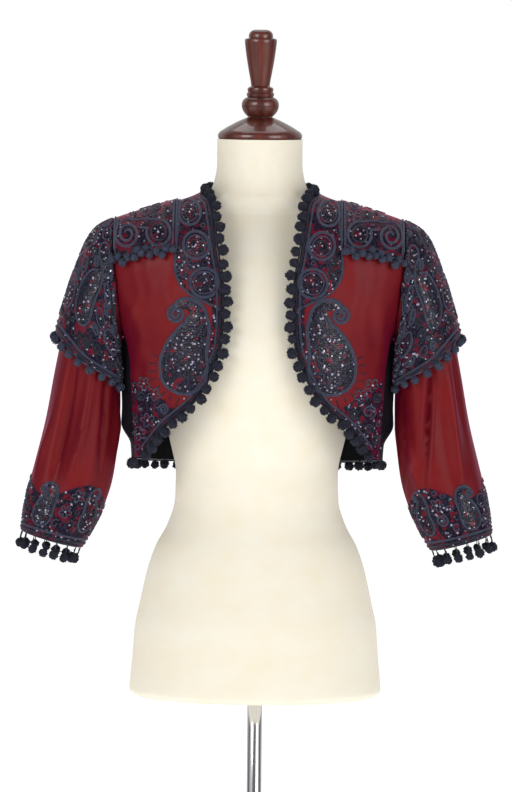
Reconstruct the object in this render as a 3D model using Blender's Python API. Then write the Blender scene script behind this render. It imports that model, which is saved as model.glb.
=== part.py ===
"""A bolero jacket with pompom trims, resting on a limbless dress form on its stand.

Metres, +Z up. The front faces -Y, +X is the viewer's right, and the origin is on the floor
under the middle of the pole. The jacket is cut as two fronts, a back, two underarm side panels,
two sleeves, two oversleeves open at the underarm and two scalloped yokes. A body point is given
by x and by its girth: the distance run down the cloth from the shoulder ridge.
"""
import math
from collections import namedtuple

import bpy
import bmesh
from mathutils import Vector

# Walls and seams
CLOTH = 0.0020
SEAM = 0.0003
EMBROIDERY = 0.0010
LAYER_GAP = 0.0020
ROLL = 0.075
BODY_POWER = 2.4
NECK_X = 0.0745
ARM_X = 0.185
BACK_NECK_DEPTH = 0.0975
EDGE_END_Z = 1.0120
UNDERARM_Z = 1.158
ARMHOLE_MIDDLE_Z = 1.235
SEAM_TOP_Z = 1.175
HEM_SIDE_Z = 1.0070
HEM_SLOPE = 0.100

# Dress form and stand
REST_GAP = 0.0006
BASE_RADIUS = 0.195
POLE_RADIUS = 0.0095
FORM_TOP_Z = 1.4190

# Width of the raised braid work beside the front edge and the back neck
BAND_FRONT = 0.044
BAND_BACK = 0.028

# Grid of each wall
FRONT_COLUMNS = 8
ARM_ROWS = 9
SEAM_ROWS = 7
BACK_HALF_COLUMNS = 8
NECK_COLUMNS = 5
ROW_GROWTH = 1.25
SIDE_COLUMNS = 4
SLEEVE_RINGS = 15
SLEEVE_AROUND = 20

# The sleeve's first rings turn from the armhole into round rings up to this station
BLEND_END = 1.6

# The oversleeve covers the sleeve but for the underarm
OVER_REACH = math.radians(148)
OVER_COLUMNS = 18
OVER_ROWS = 7
OVER_STAND_OFF = 0.0055
OVER_HEM_S = 5.05

# The yoke lies over the shoulder seam; its lower edge has two lobes on each face
YOKE_NECK_X = 0.107
YOKE_ARM_X = 0.1830
Lobe = namedtuple("Lobe", "x z")
LOBES = [Lobe(0.1250, 1.2960), Lobe(0.1670, 1.2880)]
LOBE_PITCH = 0.042
LOBE_DEPTH = 0.0035
YOKE_EDGE_Z = 1.2765
YOKE_EDGE_SLOPE = 0.18
YOKE_COLUMNS = 10
YOKE_ROWS = 10

# The strip that pompoms are fused to, beside an edge
STRIP_START = 0.0008
STRIP_WIDTH = 0.0016
POMPOM_REACH = 0.0048
POMPOM_TIP = 0.0098

# Share of the front edge's girth that its rows follow evenly; the rest closes up at both ends
EVEN_SHARE = 0.55

Ridge = namedtuple("Ridge", "x z")
SHOULDER = [Ridge(0.0, 1.3700), Ridge(0.035, 1.3670), Ridge(0.060, 1.3575), Ridge(0.080, 1.3445),
            Ridge(0.1275, 1.3290), Ridge(0.175, 1.3135), Ridge(0.190, 1.3080)]

Slice = namedtuple("Slice", "z half_width front back")
BODY = [Slice(0.985, 0.1610, 0.1160, 0.1120), Slice(1.030, 0.1625, 0.1190, 0.1120),
        Slice(1.050, 0.1655, 0.1205, 0.1120), Slice(1.080, 0.1700, 0.1220, 0.1110),
        Slice(1.120, 0.1715, 0.1225, 0.1100), Slice(1.158, 0.1725, 0.1205, 0.1090),
        Slice(1.175, 0.1805, 0.1185, 0.1085), Slice(1.190, 0.1875, 0.1165, 0.1080),
        Slice(1.235, 0.2040, 0.1090, 0.1060), Slice(1.280, 0.2250, 0.1010, 0.1030),
        Slice(1.320, 0.2500, 0.0950, 0.1000), Slice(1.380, 0.2800, 0.0900, 0.0980)]

Line = namedtuple("Line", "z x")
ARMHOLE = [Line(1.158, 0.1725), Line(1.175, 0.1745), Line(1.190, 0.1765), Line(1.235, 0.1815),
           Line(1.280, 0.1840), Line(1.311, 0.1850)]
SIDE_SEAM = [Line(0.985, 0.1555), Line(1.030, 0.1575), Line(1.080, 0.1605), Line(1.120, 0.1625),
             Line(1.150, 0.1665), Line(1.175, 0.1745)]
FRONT_EDGE = [Line(1.0030, 0.1560), Line(1.0120, 0.1460), Line(1.0300, 0.1340),
              Line(1.0530, 0.1170), Line(1.0690, 0.0995), Line(1.0810, 0.0855),
              Line(1.1015, 0.0705), Line(1.1210, 0.0610), Line(1.1600, 0.0480),
              Line(1.1985, 0.0455), Line(1.2370, 0.0465), Line(1.2755, 0.0530),
              Line(1.3135, 0.0580), Line(1.3375, 0.0620), Line(1.3480, NECK_X)]

Station = namedtuple("Station", "s outer_x outer_z inner_x inner_z depth forward")
SLEEVE = [Station(0, 0.1856, 1.3115, 0.1748, 1.1580, 0.0600, 0.000),
          Station(1, 0.2035, 1.3030, 0.1762, 1.1500, 0.0610, 0.000),
          Station(2, 0.2150, 1.2880, 0.1778, 1.1400, 0.0600, 0.001),
          Station(3, 0.2285, 1.2520, 0.1785, 1.1220, 0.0590, 0.002),
          Station(4, 0.2410, 1.2130, 0.1785, 1.1000, 0.0560, 0.004),
          Station(5, 0.2530, 1.1700, 0.1780, 1.0780, 0.0530, 0.006),
          Station(6, 0.2640, 1.1150, 0.1782, 1.0480, 0.0505, 0.009),
          Station(7, 0.2745, 1.0560, 0.1815, 1.0160, 0.0490, 0.013),
          Station(8, 0.2885, 0.9980, 0.1870, 0.9780, 0.0480, 0.018),
          Station(9, 0.3000, 0.9520, 0.2000, 0.9370, 0.0465, 0.022),
          Station(10, 0.3060, 0.9130, 0.2245, 0.8900, 0.0425, 0.025)]

# One row for each soft fold of the sleeves: place along, place around in degrees from the
# outside over the front, half length along, half width around in degrees, height
Fold = namedtuple("Fold", "along around length width height")
FOLDS = [Fold(6.6, 75, 2.0, 15, -0.0040), Fold(7.2, 112, 2.2, 16, 0.0030),
         Fold(7.0, 145, 1.8, 14, -0.0035), Fold(7.8, 40, 1.6, 16, 0.0020),
         Fold(6.8, 215, 1.8, 18, -0.0035), Fold(7.4, 265, 2.0, 18, -0.0035),
         Fold(6.4, 310, 1.6, 18, 0.0025)]

Spine = namedtuple("Spine", "across up half_width")
PAISLEY = [Spine(0.000, -0.0300, 0.0060), Spine(0.000, -0.0230, 0.0195),
           Spine(0.000, -0.0090, 0.0285), Spine(0.000, 0.0060, 0.0300),
           Spine(-0.003, 0.0240, 0.0270), Spine(-0.010, 0.0420, 0.0215),
           Spine(-0.016, 0.0570, 0.0160), Spine(-0.017, 0.0710, 0.0110),
           Spine(-0.010, 0.0820, 0.0080), Spine(0.000, 0.0850, 0.0065),
           Spine(0.0080, 0.0800, 0.0050), Spine(0.0090, 0.0730, 0.0035)]

Profile = namedtuple("Profile", "z half_width front back")
FORM = [Profile(0.694, 0.1560, 0.1080, 0.1180), Profile(0.703, 0.1640, 0.1150, 0.1250),
        Profile(0.750, 0.1600, 0.1130, 0.1260), Profile(0.7875, 0.1570, 0.1110, 0.1250),
        Profile(0.8135, 0.1515, 0.1080, 0.1210), Profile(0.8395, 0.1460, 0.1040, 0.1150),
        Profile(0.8655, 0.1395, 0.1000, 0.1070), Profile(0.8915, 0.1300, 0.0950, 0.0970),
        Profile(0.9175, 0.1160, 0.0890, 0.0880), Profile(0.9500, 0.1065, 0.0850, 0.0820),
        Profile(0.9850, 0.1055, 0.0850, 0.0810), Profile(1.0280, 0.1140, 0.0910, 0.0830),
        Profile(1.0700, 0.1250, 0.0990, 0.0870), Profile(1.1100, 0.1350, 0.1070, 0.0910),
        Profile(1.1550, 0.1430, 0.1110, 0.0930), Profile(1.2000, 0.1480, 0.1040, 0.0930),
        Profile(1.2500, 0.1530, 0.0880, 0.0880), Profile(1.2850, 0.1600, 0.0700, 0.0740)]
SHOULDER_RINGS = [(0.160, 0.050), (0.140, 0.046), (0.110, 0.044), (0.080, 0.045)]
NECK_RINGS = [Profile(1.3510, 0.0650, 0.0480, 0.0480), Profile(1.3680, 0.0580, 0.0530, 0.0530),
              Profile(1.3860, 0.0555, 0.0555, 0.0555), Profile(FORM_TOP_Z, 0.0553, 0.0553, 0.0553)]
FORM_AROUND = 24

Turned = namedtuple("Turned", "z radius")
NECK_CAP = [Turned(1.4195, 0.0480), Turned(1.4195, 0.0530), Turned(1.4245, 0.0548),
            Turned(1.4285, 0.0520), Turned(1.4340, 0.0435), Turned(1.4395, 0.0335),
            Turned(1.4440, 0.0240), Turned(1.4475, 0.0160)]
FINIAL = [Turned(1.4478, 0.0158), Turned(1.4520, 0.0200), Turned(1.4590, 0.0236),
          Turned(1.4660, 0.0240), Turned(1.4715, 0.0205), Turned(1.4735, 0.0165),
          Turned(1.4800, 0.0165), Turned(1.4860, 0.0165), Turned(1.4880, 0.0120),
          Turned(1.5050, 0.0150), Turned(1.5250, 0.0182), Turned(1.5440, 0.0207),
          Turned(1.5485, 0.0207), Turned(1.5500, 0.0157), Turned(1.5560, 0.0150),
          Turned(1.5605, 0.0090)]
BASE = [Turned(0.0, BASE_RADIUS), Turned(0.007, BASE_RADIUS), Turned(0.011, BASE_RADIUS - 0.005),
        Turned(0.017, 0.070), Turned(0.024, 0.032), Turned(0.024, POLE_RADIUS + 0.0005)]


def clear_scene():
    for item in list(bpy.data.objects):
        bpy.data.objects.remove(item)


def make_material(name, colour, roughness, metallic=0.0):
    material = bpy.data.materials.new(name)
    material.use_nodes = True
    shader = material.node_tree.nodes["Principled BSDF"]
    shader.inputs["Base Color"].default_value = (*colour, 1.0)
    shader.inputs["Roughness"].default_value = roughness
    shader.inputs["Metallic"].default_value = metallic
    return material


WINE = ((0.20, 0.012, 0.022), 0.45)
LINING = ((0.008, 0.008, 0.012), 0.60)
NAVY = ((0.020, 0.024, 0.050), 0.80)
SLATE = ((0.060, 0.085, 0.140), 0.80)
LINEN = ((0.90, 0.85, 0.72), 0.65)
MAHOGANY = ((0.10, 0.018, 0.010), 0.20)
CHROME = ((0.75, 0.75, 0.77), 0.12, 1.0)


def add_object(name, points, faces, look):
    """Add one closed body, its faces turned outwards and shaded smooth."""
    mesh = bpy.data.meshes.new(name)
    shape = bmesh.new()
    corners = [shape.verts.new(point) for point in points]
    for face in faces:
        shape.faces.new([corners[index] for index in face])
    bmesh.ops.recalc_face_normals(shape, faces=shape.faces)
    shape.to_mesh(mesh)
    shape.free()
    mesh.shade_smooth()
    mesh.set_sharp_from_angle(angle=math.radians(50))
    mesh.materials.append(make_material(name, *look))
    item = bpy.data.objects.new(name, mesh)
    bpy.context.collection.objects.link(item)
    return item


def read(table, key, column, at):
    """Read a column of a table at a key value, along a smooth curve that never overshoots."""
    keys = [getattr(row, key) for row in table]
    values = [getattr(row, column) for row in table]
    if at <= keys[0]:
        return values[0]
    if at >= keys[-1]:
        return values[-1]
    slopes = [(values[i + 1] - values[i]) / (keys[i + 1] - keys[i]) for i in range(len(keys) - 1)]
    tangents = [slopes[0]]
    for left, right in zip(slopes, slopes[1:]):
        same_way = left * right > 0
        tangents.append(2 * left * right / (left + right) if same_way else 0.0)
    tangents.append(slopes[-1])
    i = max(k for k in range(len(keys) - 1) if keys[k] <= at)
    step = keys[i + 1] - keys[i]
    t = (at - keys[i]) / step
    return (values[i] * (1 + 2 * t) * (1 - t) ** 2 + tangents[i] * step * t * (1 - t) ** 2
            + values[i + 1] * t * t * (3 - 2 * t) + tangents[i + 1] * step * t * t * (t - 1))


def ease(t):
    t = min(max(t, 0.0), 1.0)
    return t * t * (3 - 2 * t)


def shoulder(x):
    return read(SHOULDER, "x", "z", abs(x))


def drop(girth):
    """Height lost after running this far down from the ridge."""
    if girth < ROLL * math.pi / 2:
        return ROLL * (1 - math.cos(girth / ROLL))
    return ROLL + girth - ROLL * math.pi / 2


def girth_at(x, z):
    fall = shoulder(x) - z
    if fall < ROLL:
        return ROLL * math.acos(1 - max(fall, 0.0) / ROLL)
    return fall - ROLL + ROLL * math.pi / 2


def body_point(x, girth, side):
    """A point of the jacket's inner face; side is -1 on the front and +1 on the back."""
    z = shoulder(x) - drop(girth)
    ratio = min(abs(x) / read(BODY, "z", "half_width", z), 1.0)
    depth = read(BODY, "z", "front" if side < 0 else "back", z)
    roll = math.sin(min(girth / ROLL, math.pi / 2))
    return Vector((x, side * depth * roll * (1 - ratio ** BODY_POWER) ** (1 / BODY_POWER), z))


def body_normal(x, girth, side):
    """The outward direction of the jacket's surface there."""
    point = body_point(x, girth, side)
    if girth < ROLL * math.pi / 2:
        step = 0.0004
        across = body_point(x + step, girth, side) - body_point(x - step, girth, side)
        along = body_point(x, girth + step, side) - body_point(x, abs(girth - step), side)
        if girth < step:
            along = Vector((0, side, 0))
        return across.cross(along).normalized() * side
    step = 0.0005

    def measure(z):
        width = read(BODY, "z", "half_width", z)
        depth = read(BODY, "z", "front" if side < 0 else "back", z)
        return (abs(point.x) / width) ** BODY_POWER + (abs(point.y) / depth) ** BODY_POWER

    width = read(BODY, "z", "half_width", point.z)
    depth = read(BODY, "z", "front" if side < 0 else "back", point.z)
    slope_x = BODY_POWER * (abs(point.x) / width) ** (BODY_POWER - 1) / width
    slope_y = BODY_POWER * (abs(point.y) / depth) ** (BODY_POWER - 1) / depth
    slope_z = (measure(point.z + step) - measure(point.z - step)) / (2 * step)
    normal = Vector((math.copysign(slope_x, x), side * slope_y, slope_z))
    return normal.normalized()


def hem_z(y):
    """Height of the side and back hem, which falls a little towards the back."""
    return HEM_SIDE_Z - HEM_SLOPE * max(y + 0.04, 0.0)


def front_edge(girth):
    """x of the front's free edge at a girth."""
    z = 1.348 - drop(girth)
    for _ in range(30):
        x = read(FRONT_EDGE, "z", "x", z)
        z = 0.5 * z + 0.5 * (shoulder(x) - drop(girth))
    return x


def armhole(turn):
    """x and girth on the armhole; turn runs from 0 at the ridge to pi at the underarm."""
    top = shoulder(ARM_X)
    z = (top + UNDERARM_Z) / 2 + (top - UNDERARM_Z) / 2 * math.cos(turn)
    x = read(ARMHOLE, "z", "x", z)
    return x, (0.0 if turn < 1e-6 else girth_at(x, z))


def seam_turn():
    top = shoulder(ARM_X)
    return math.acos((SEAM_TOP_Z - (top + UNDERARM_Z) / 2) / ((top - UNDERARM_Z) / 2))


def seam_line(t, side):
    """x and girth down the side seam, from the armhole at 0 to the hem at 1."""
    bottom = HEM_SIDE_Z if side < 0 else hem_z(0.05)
    z = SEAM_TOP_Z + (bottom - SEAM_TOP_Z) * t
    x = read(SIDE_SEAM, "z", "x", z)
    return x, girth_at(x, z)


def outer_boundary(row, side):
    """x and girth of the armhole's rows and then of the side seam's rows."""
    if row <= ARM_ROWS:
        return armhole(seam_turn() * (row / ARM_ROWS) ** ROW_GROWTH)
    return seam_line((row - ARM_ROWS) / SEAM_ROWS, side)


def split_cell(a, b, c, d, count):
    """Inner and outer triangles of a cell, cut along the same diagonal."""
    inner = [(a, b, d), (a, d, c)]
    return inner + [(k + count, j + count, i + count) for i, j, k in inner]


def wall(name, rows, look):
    """Close a grid of (inner point, outer point) pairs into one wall."""
    down, across = len(rows), len(rows[0])
    inner = [pair[0] for row in rows for pair in row]
    outer = [pair[1] for row in rows for pair in row]
    count = down * across
    faces = []
    for i in range(down - 1):
        for j in range(across - 1):
            a, b = i * across + j, i * across + j + 1
            c, d = a + across, b + across
            faces += split_cell(a, b, c, d, count)
    rim = [(0, j) for j in range(across)] + [(i, across - 1) for i in range(1, down)]
    rim += [(down - 1, j) for j in range(across - 2, -1, -1)] + [(i, 0) for i in range(down - 2, 0, -1)]
    rim = [i * across + j for i, j in rim]
    for a, b in zip(rim, rim[1:] + rim[:1]):
        faces.append((a, a + count, b + count, b))
    return add_object(name, inner + outer, faces, look)


def tube(name, rings, look):
    """Close rings of (inner point, outer point) pairs into one open-ended sleeve."""
    down, around = len(rings), len(rings[0])
    inner = [pair[0] for ring in rings for pair in ring]
    outer = [pair[1] for ring in rings for pair in ring]
    count = down * around
    faces = []
    for j in range(around):
        k = (j + 1) % around
        for i in range(down - 1):
            a, b, c, d = i * around + j, i * around + k, (i + 1) * around + j, (i + 1) * around + k
            faces += split_cell(a, b, c, d, count)
        last = (down - 1) * around
        faces.append((j, j + count, k + count, k))
        faces.append((last + j, last + k, last + k + count, last + j + count))
    return add_object(name, inner + outer, faces, look)


def lathe(name, profile, segments, look):
    """Turn a profile about the pole's axis and cap both ends."""
    points = []
    for row in profile:
        for j in range(segments):
            angle = 2 * math.pi * j / segments
            points.append((row.radius * math.cos(angle), row.radius * math.sin(angle), row.z))
    faces = [tuple(range(segments)),
             tuple(range((len(profile) - 1) * segments, len(profile) * segments))]
    for i in range(len(profile) - 1):
        for j in range(segments):
            k = (j + 1) % segments
            faces.append((i * segments + j, i * segments + k,
                          (i + 1) * segments + k, (i + 1) * segments + j))
    return add_object(name, points, faces, look)


def mirrored(pair_rows, sign):
    return [[tuple(Vector((p.x * sign, p.y, p.z)) for p in pair) for pair in row]
            for row in pair_rows]


def raised(x, girth, side):
    """Extra height of the braid and bead work beside the front and back neck."""
    z = shoulder(x) - drop(girth)
    band = BAND_FRONT + front_edge(girth) - x
    if side > 0:
        band = BAND_BACK + NECK_X - math.hypot(x, BACK_NECK_DEPTH * math.sin(min(girth / ROLL, 1.57)))
    return EMBROIDERY * ease(band / 0.012) * ease((z - 1.225) / 0.02)


def neck_girth(x):
    """Girth of the back neckline, a circle about the form's neck."""
    reach = math.sqrt(max(NECK_X ** 2 - x * x, 0.0))
    return ROLL * math.asin(min(reach / BACK_NECK_DEPTH, 1.0))


def front_rows():
    end = girth_at(read(FRONT_EDGE, "z", "x", EDGE_END_Z), EDGE_END_Z)
    total = ARM_ROWS + SEAM_ROWS
    rows = []
    for i in range(total + 1):
        x_out, girth_out = outer_boundary(i, -1)
        t = i / total
        girth_in = end * (EVEN_SHARE * t ** ROW_GROWTH
                          + (1 - EVEN_SHARE) * (1 - math.cos(math.pi * t)) / 2)
        x_in = front_edge(girth_in)
        row = []
        for j in range(FRONT_COLUMNS + 1):
            u = j / FRONT_COLUMNS
            x = x_in + (x_out - x_in) * u
            girth = max(girth_in + (girth_out - girth_in) * u, SEAM / 2)
            point = body_point(x, girth, -1)
            height = CLOTH + raised(x, girth, -1)
            row.append((point, point + body_normal(x, girth, -1) * height))
        rows.append(row)
    return rows


def back_rows():
    """From the left armhole over the neck to the right one, and down to the hem."""
    half = BACK_HALF_COLUMNS
    total = ARM_ROWS + SEAM_ROWS
    tops = []
    for j in range(-half, half + 1):
        if abs(j) <= NECK_COLUMNS:
            x = NECK_X * math.sin(math.pi / 2 * abs(j) / NECK_COLUMNS)
            tops.append((math.copysign(x, j), neck_girth(x)))
        else:
            share = (abs(j) - NECK_COLUMNS) / (half - NECK_COLUMNS)
            tops.append((math.copysign(NECK_X + (ARM_X - NECK_X) * share, j), 0.0))
    girth_end = outer_boundary(total, 1)[1]
    rows = []
    for i in range(total + 1):
        x_out, girth_out = outer_boundary(i, 1)
        v = girth_out / girth_end
        row = []
        for j in range(-half, half + 1):
            top_x, top_girth = tops[j + half]
            share = top_x / ARM_X + (j / half - top_x / ARM_X) * ease(v / 0.8)
            x = share * x_out
            x_hem = j / half * outer_boundary(total, 1)[0]
            y_hem = body_point(x_hem, girth_at(x_hem, 1.0), 1).y
            girth = top_girth + (girth_at(x_hem, hem_z(y_hem)) - top_girth) * v
            girth = max(girth, SEAM / 2)
            point = body_point(x, girth, 1)
            height = CLOTH + raised(abs(x), girth, 1)
            row.append((point, point + body_normal(x, girth, 1) * height))
        rows.append(row)
    return rows


def side_rows():
    """The underarm panel, from the front seam round to the back seam."""
    turns = [seam_turn() + (math.pi - seam_turn()) * k / 2 for k in (0, 1, 2)]
    tops = [body_point(*armhole(turn), -1) for turn in turns]
    tops += [body_point(*armhole(turn), 1) for turn in turns[1::-1]]
    rows = []
    for i in range(SEAM_ROWS + 1):
        t = i / SEAM_ROWS
        x, girth = seam_line(t, -1)
        y_front = body_point(x, girth, -1).y + SEAM * 1.4
        x, girth = seam_line(t, 1)
        y_back = body_point(x, girth, 1).y - SEAM * 1.4
        row = []
        for j in range(SIDE_COLUMNS + 1):
            w = j / SIDE_COLUMNS
            top_share = (tops[j].y - tops[0].y) / (tops[-1].y - tops[0].y)
            share = top_share + (w - top_share) * ease(t / 0.6)
            y = y_front + (y_back - y_front) * share
            z = tops[j].z + (hem_z(y) - tops[j].z) * t
            width = read(BODY, "z", "half_width", z)
            depth = read(BODY, "z", "front" if y < 0 else "back", z)
            x = width * (1 - (abs(y) / depth) ** BODY_POWER) ** (1 / BODY_POWER)
            point = Vector((x, y, z))
            normal = body_normal(x, girth_at(x, z), -1 if y < 0 else 1)
            row.append((point, point + normal * CLOTH))
        rows.append(row)
    return rows


def armhole_outer(turn):
    """The armhole on the cloth's outer face; turn goes once round, the front first."""
    side = -1 if turn <= math.pi else 1
    x, girth = armhole(turn if side < 0 else 2 * math.pi - turn)
    normal = body_normal(x, girth, side)
    clear = SEAM + 0.0009 * max(normal.x, 0.0)
    return body_point(x, girth, side) + normal * CLOTH + Vector((clear, 0, 0))


def fold_height(s, turn):
    total = 0.0
    for fold in FOLDS:
        away = (math.degrees(turn) - fold.around + 180) % 360 - 180
        total += fold.height * math.exp(-((s - fold.along) / fold.length) ** 2
                                        - (away / fold.width) ** 2)
    return total * ease(s - 3.5) * ease((10 - s) / 1.2)


def sleeve_point(s, turn):
    """The right sleeve's outer face; s runs 0 to 10 from armhole to cuff."""
    values = {name: read(SLEEVE, "s", name, s) for name in Station._fields[1:]}
    outer = Vector((values["outer_x"], 0, values["outer_z"]))
    inner = Vector((values["inner_x"], 0, values["inner_z"]))
    ring = (outer + inner) / 2 + (outer - inner) / 2 * math.cos(turn)
    ring.y = -values["depth"] * math.sin(turn) - values["forward"]
    if s < BLEND_END:
        blend = 1 - (1 - s / BLEND_END) ** 2
        ring = armhole_outer(turn % (2 * math.pi)).lerp(ring, blend)
    return ring


def sleeve_normal(s, turn):
    """The sleeve's outward direction; its first ring stays in the armhole's own plane."""
    if s < 0.01:
        spot = armhole_outer(turn % (2 * math.pi))
        return Vector((0, spot.y, spot.z - ARMHOLE_MIDDLE_Z)).normalized()
    step = 0.02
    low = max(s - step, 0.0)
    along = sleeve_point(low + 2 * step if s < step else min(s + step, 10), turn)
    along -= sleeve_point(low, turn)
    around = sleeve_point(s, turn + step) - sleeve_point(s, turn - step)
    return around.cross(along).normalized()


def sleeve_surface(s, turn):
    normal = sleeve_normal(s, turn)
    return sleeve_point(s, turn) + normal * fold_height(s, turn), normal


def sleeve_rings():
    rings = []
    for i in range(SLEEVE_RINGS + 1):
        s = 10 * (i / SLEEVE_RINGS) ** 1.15
        ring = []
        for j in range(SLEEVE_AROUND):
            point, normal = sleeve_surface(s, 2 * math.pi * j / SLEEVE_AROUND)
            ring.append((point - normal * CLOTH, point))
        rings.append(ring)
    return rings


def over_frame(t, turn):
    """Inner face of the oversleeve from the armhole (0) to its hem (1)."""
    share = ease((abs(turn) - math.radians(70)) / math.radians(78))
    start = 0.12 + 1.9 * share
    end = OVER_HEM_S - 0.75 * share
    s = start + (end - start) * t
    normal = sleeve_normal(s, turn)
    gap = 0.0018 + OVER_STAND_OFF * ease(t / 0.8)
    return sleeve_point(s, turn) + normal * gap, normal


def over_rows():
    rows = []
    for i in range(OVER_ROWS + 1):
        row = []
        for j in range(OVER_COLUMNS + 1):
            turn = OVER_REACH * (2 * j / OVER_COLUMNS - 1)
            point, normal = over_frame(i / OVER_ROWS, turn)
            ripple = 0.0004 * math.cos(2 * math.pi * j / 6)
            row.append((point, point + normal * (CLOTH + EMBROIDERY * 0.6 + ripple)))
        rows.append(row)
    return rows


def yoke_reach(x):
    """Girth of the yoke's lower edge at x."""
    along = x - LOBES[0].x
    wave = LOBE_DEPTH * math.cos(2 * math.pi * along / LOBE_PITCH)
    return girth_at(x, YOKE_EDGE_Z - YOKE_EDGE_SLOPE * along - wave)


def yoke_frame(x, girth):
    """Inner face of the yoke; the girth is negative on the front."""
    side = -1 if girth < 0 else 1
    normal = body_normal(x, abs(girth), side)
    return body_point(x, abs(girth), side) + normal * (CLOTH + LAYER_GAP), normal


def yoke_rows():
    rows = []
    for i in range(YOKE_ROWS + 1):
        t = 2 * i / YOKE_ROWS - 1
        t = math.copysign(abs(t) ** ROW_GROWTH, t)
        row = []
        for j in range(YOKE_COLUMNS + 1):
            x = YOKE_NECK_X + (YOKE_ARM_X - YOKE_NECK_X) * j / YOKE_COLUMNS
            girth = yoke_reach(x) * t
            point, normal = yoke_frame(x, girth)
            bump = 0.0
            for lobe in LOBES:
                away = math.hypot(x - lobe.x, point.z - lobe.z) / 0.018
                bump += 0.0016 * ease(1.4 - away)
            row.append((point, point + normal * (CLOTH + bump)))
        rows.append(row)
    return rows


Frame = namedtuple("Frame", "point normal outward")


def even_frames(curve, count, closed=False):
    """Frames at equal distances along a curve t -> (point, normal, outward)."""
    samples = [curve(k / 240) for k in range(241)]
    travel = [0.0]
    for a, b in zip(samples, samples[1:]):
        travel.append(travel[-1] + (b[0] - a[0]).length)
    frames = []
    for i in range(count if closed else count + 1):
        goal = travel[-1] * i / count
        k = min(max(n for n in range(241) if travel[n] <= goal + 1e-9), 239)
        part = (goal - travel[k]) / (travel[k + 1] - travel[k])
        frames.append(Frame(*curve((k + part) / 240)))
    return frames


def pompom_strip(name, frames, look, closed=False, lift=0.0035, string=0.0, size=0.0048,
                 every=1, mirror=1):
    """A narrow strip beside an edge with one pompom, four-sided, fused to each of its cells."""
    points, faces = [], []
    far = STRIP_START + STRIP_WIDTH

    def corner(frame, off, up):
        spot = frame.point + frame.outward * off + frame.normal * up
        points.append(Vector((spot.x * mirror, spot.y, spot.z)))
        return len(points) - 1

    half = CLOTH / 2
    sections = [(corner(f, STRIP_START, -half), corner(f, STRIP_START, half),
                 corner(f, far, half), corner(f, far, -half)) for f in frames]
    pairs = list(zip(range(len(frames)), range(1, len(frames))))
    if closed:
        pairs.append((len(frames) - 1, 0))
    else:
        faces += [sections[0], sections[-1]]
    for i, k in pairs:
        a, b = sections[i], sections[k]
        faces += [(a[0], a[1], b[1], b[0]), (a[1], a[2], b[2], b[1]), (a[3], a[0], b[0], b[3])]
        if i % every:
            faces.append((a[2], a[3], b[3], b[2]))
            continue
        one, two = frames[i], frames[k]
        middle = (one.point + two.point) / 2
        normal = (one.normal + two.normal).normalized()
        outward = (one.outward + two.outward).normalized()
        along = outward.cross(normal).normalized()
        if along.dot(two.point - one.point) < 0:
            along = -along
        loop = [a[3], a[2], b[2], b[3]]
        stages = [(far + 0.0014, 0.0011, lift * 0.2)]
        if string:
            stages.append((far + string, 0.0010, lift))
        stages.append((far + string + POMPOM_REACH, size, lift))
        for off, half_size, up in stages:
            centre = middle + outward * off + normal * up
            ring = []
            for way, rise in ((-1, -1), (-1, 1), (1, 1), (1, -1)):
                spot = centre + along * (way * half_size) + normal * (rise * half_size)
                points.append(Vector((spot.x * mirror, spot.y, spot.z)))
                ring.append(len(points) - 1)
            for n in range(4):
                faces.append((loop[n], loop[(n + 1) % 4], ring[(n + 1) % 4], ring[n]))
            loop = ring
        tip = middle + outward * (far + string + POMPOM_TIP) + normal * lift
        points.append(Vector((tip.x * mirror, tip.y, tip.z)))
        for n in range(4):
            faces.append((loop[n], loop[(n + 1) % 4], len(points) - 1))
    return add_object(name, points, faces, look)


def edge_frame(place, t, away, step=1e-3):
    """Frame on an edge t -> (middle point, normal); away points off the cloth."""
    low, high = max(t - step, 0.0), min(t + step, 1.0)
    point, normal = place(t)
    run = (place(high)[0] - place(low)[0]).normalized()
    outward = run.cross(normal).normalized()
    return point, normal, outward if outward.dot(away) > 0 else -outward


def body_edge(x, girth, side):
    normal = body_normal(x, girth, side)
    return body_point(x, girth, side) + normal * CLOTH / 2, normal


def front_edge_curve(t):
    end = girth_at(read(FRONT_EDGE, "z", "x", EDGE_END_Z), EDGE_END_Z)

    def place(w):
        girth = max(end * w, 0.004)
        return body_edge(front_edge(girth), girth, -1)
    return edge_frame(place, 0.012 + 0.988 * t, Vector((-1, 0, -0.6)))


def neck_edge_curve(t):
    def place(w):
        x = NECK_X * math.sin(math.radians(-86 + 172 * w))
        return body_edge(x, neck_girth(x), 1)
    return edge_frame(place, t, Vector((0, -1, 1)))


def hem_point(angle):
    """Inner face at the hem; the angle is 0 at the right side and 90 at the back."""
    cosine, sine = math.cos(angle), math.sin(angle)
    width = read(BODY, "z", "half_width", 1.0)
    depth = read(BODY, "z", "front" if sine < 0 else "back", 1.0)
    x = math.copysign(width * abs(cosine) ** (2 / BODY_POWER), cosine)
    y = math.copysign(depth * abs(sine) ** (2 / BODY_POWER), sine)
    return Vector((x, y, hem_z(y)))


def hem_edge_curve(t):
    def place(w):
        angle = math.radians(-13.0 + 206.0 * w)
        run = hem_point(angle + 0.01) - hem_point(angle - 0.01)
        normal = Vector((run.y, -run.x, 0)).normalized()
        return hem_point(angle) + normal * CLOTH / 2, normal
    return edge_frame(place, t, Vector((0, 0, -1)))


def yoke_edge_curve(side):
    def curve(t):
        def place(w):
            x = YOKE_NECK_X + 0.001 + (YOKE_ARM_X - YOKE_NECK_X - 0.002) * w
            point, normal = yoke_frame(x, side * yoke_reach(x))
            return point + normal * CLOTH / 2, normal
        return edge_frame(place, t, Vector((0, 0, -1)), 0.03)
    return curve


def over_hem_curve(t):
    turn = OVER_REACH * (2 * t - 1)
    point, normal = over_frame(1.0, turn)
    outward = (point - over_frame(0.96, turn)[0]).normalized()
    return point + normal * CLOTH / 2, normal, outward


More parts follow.
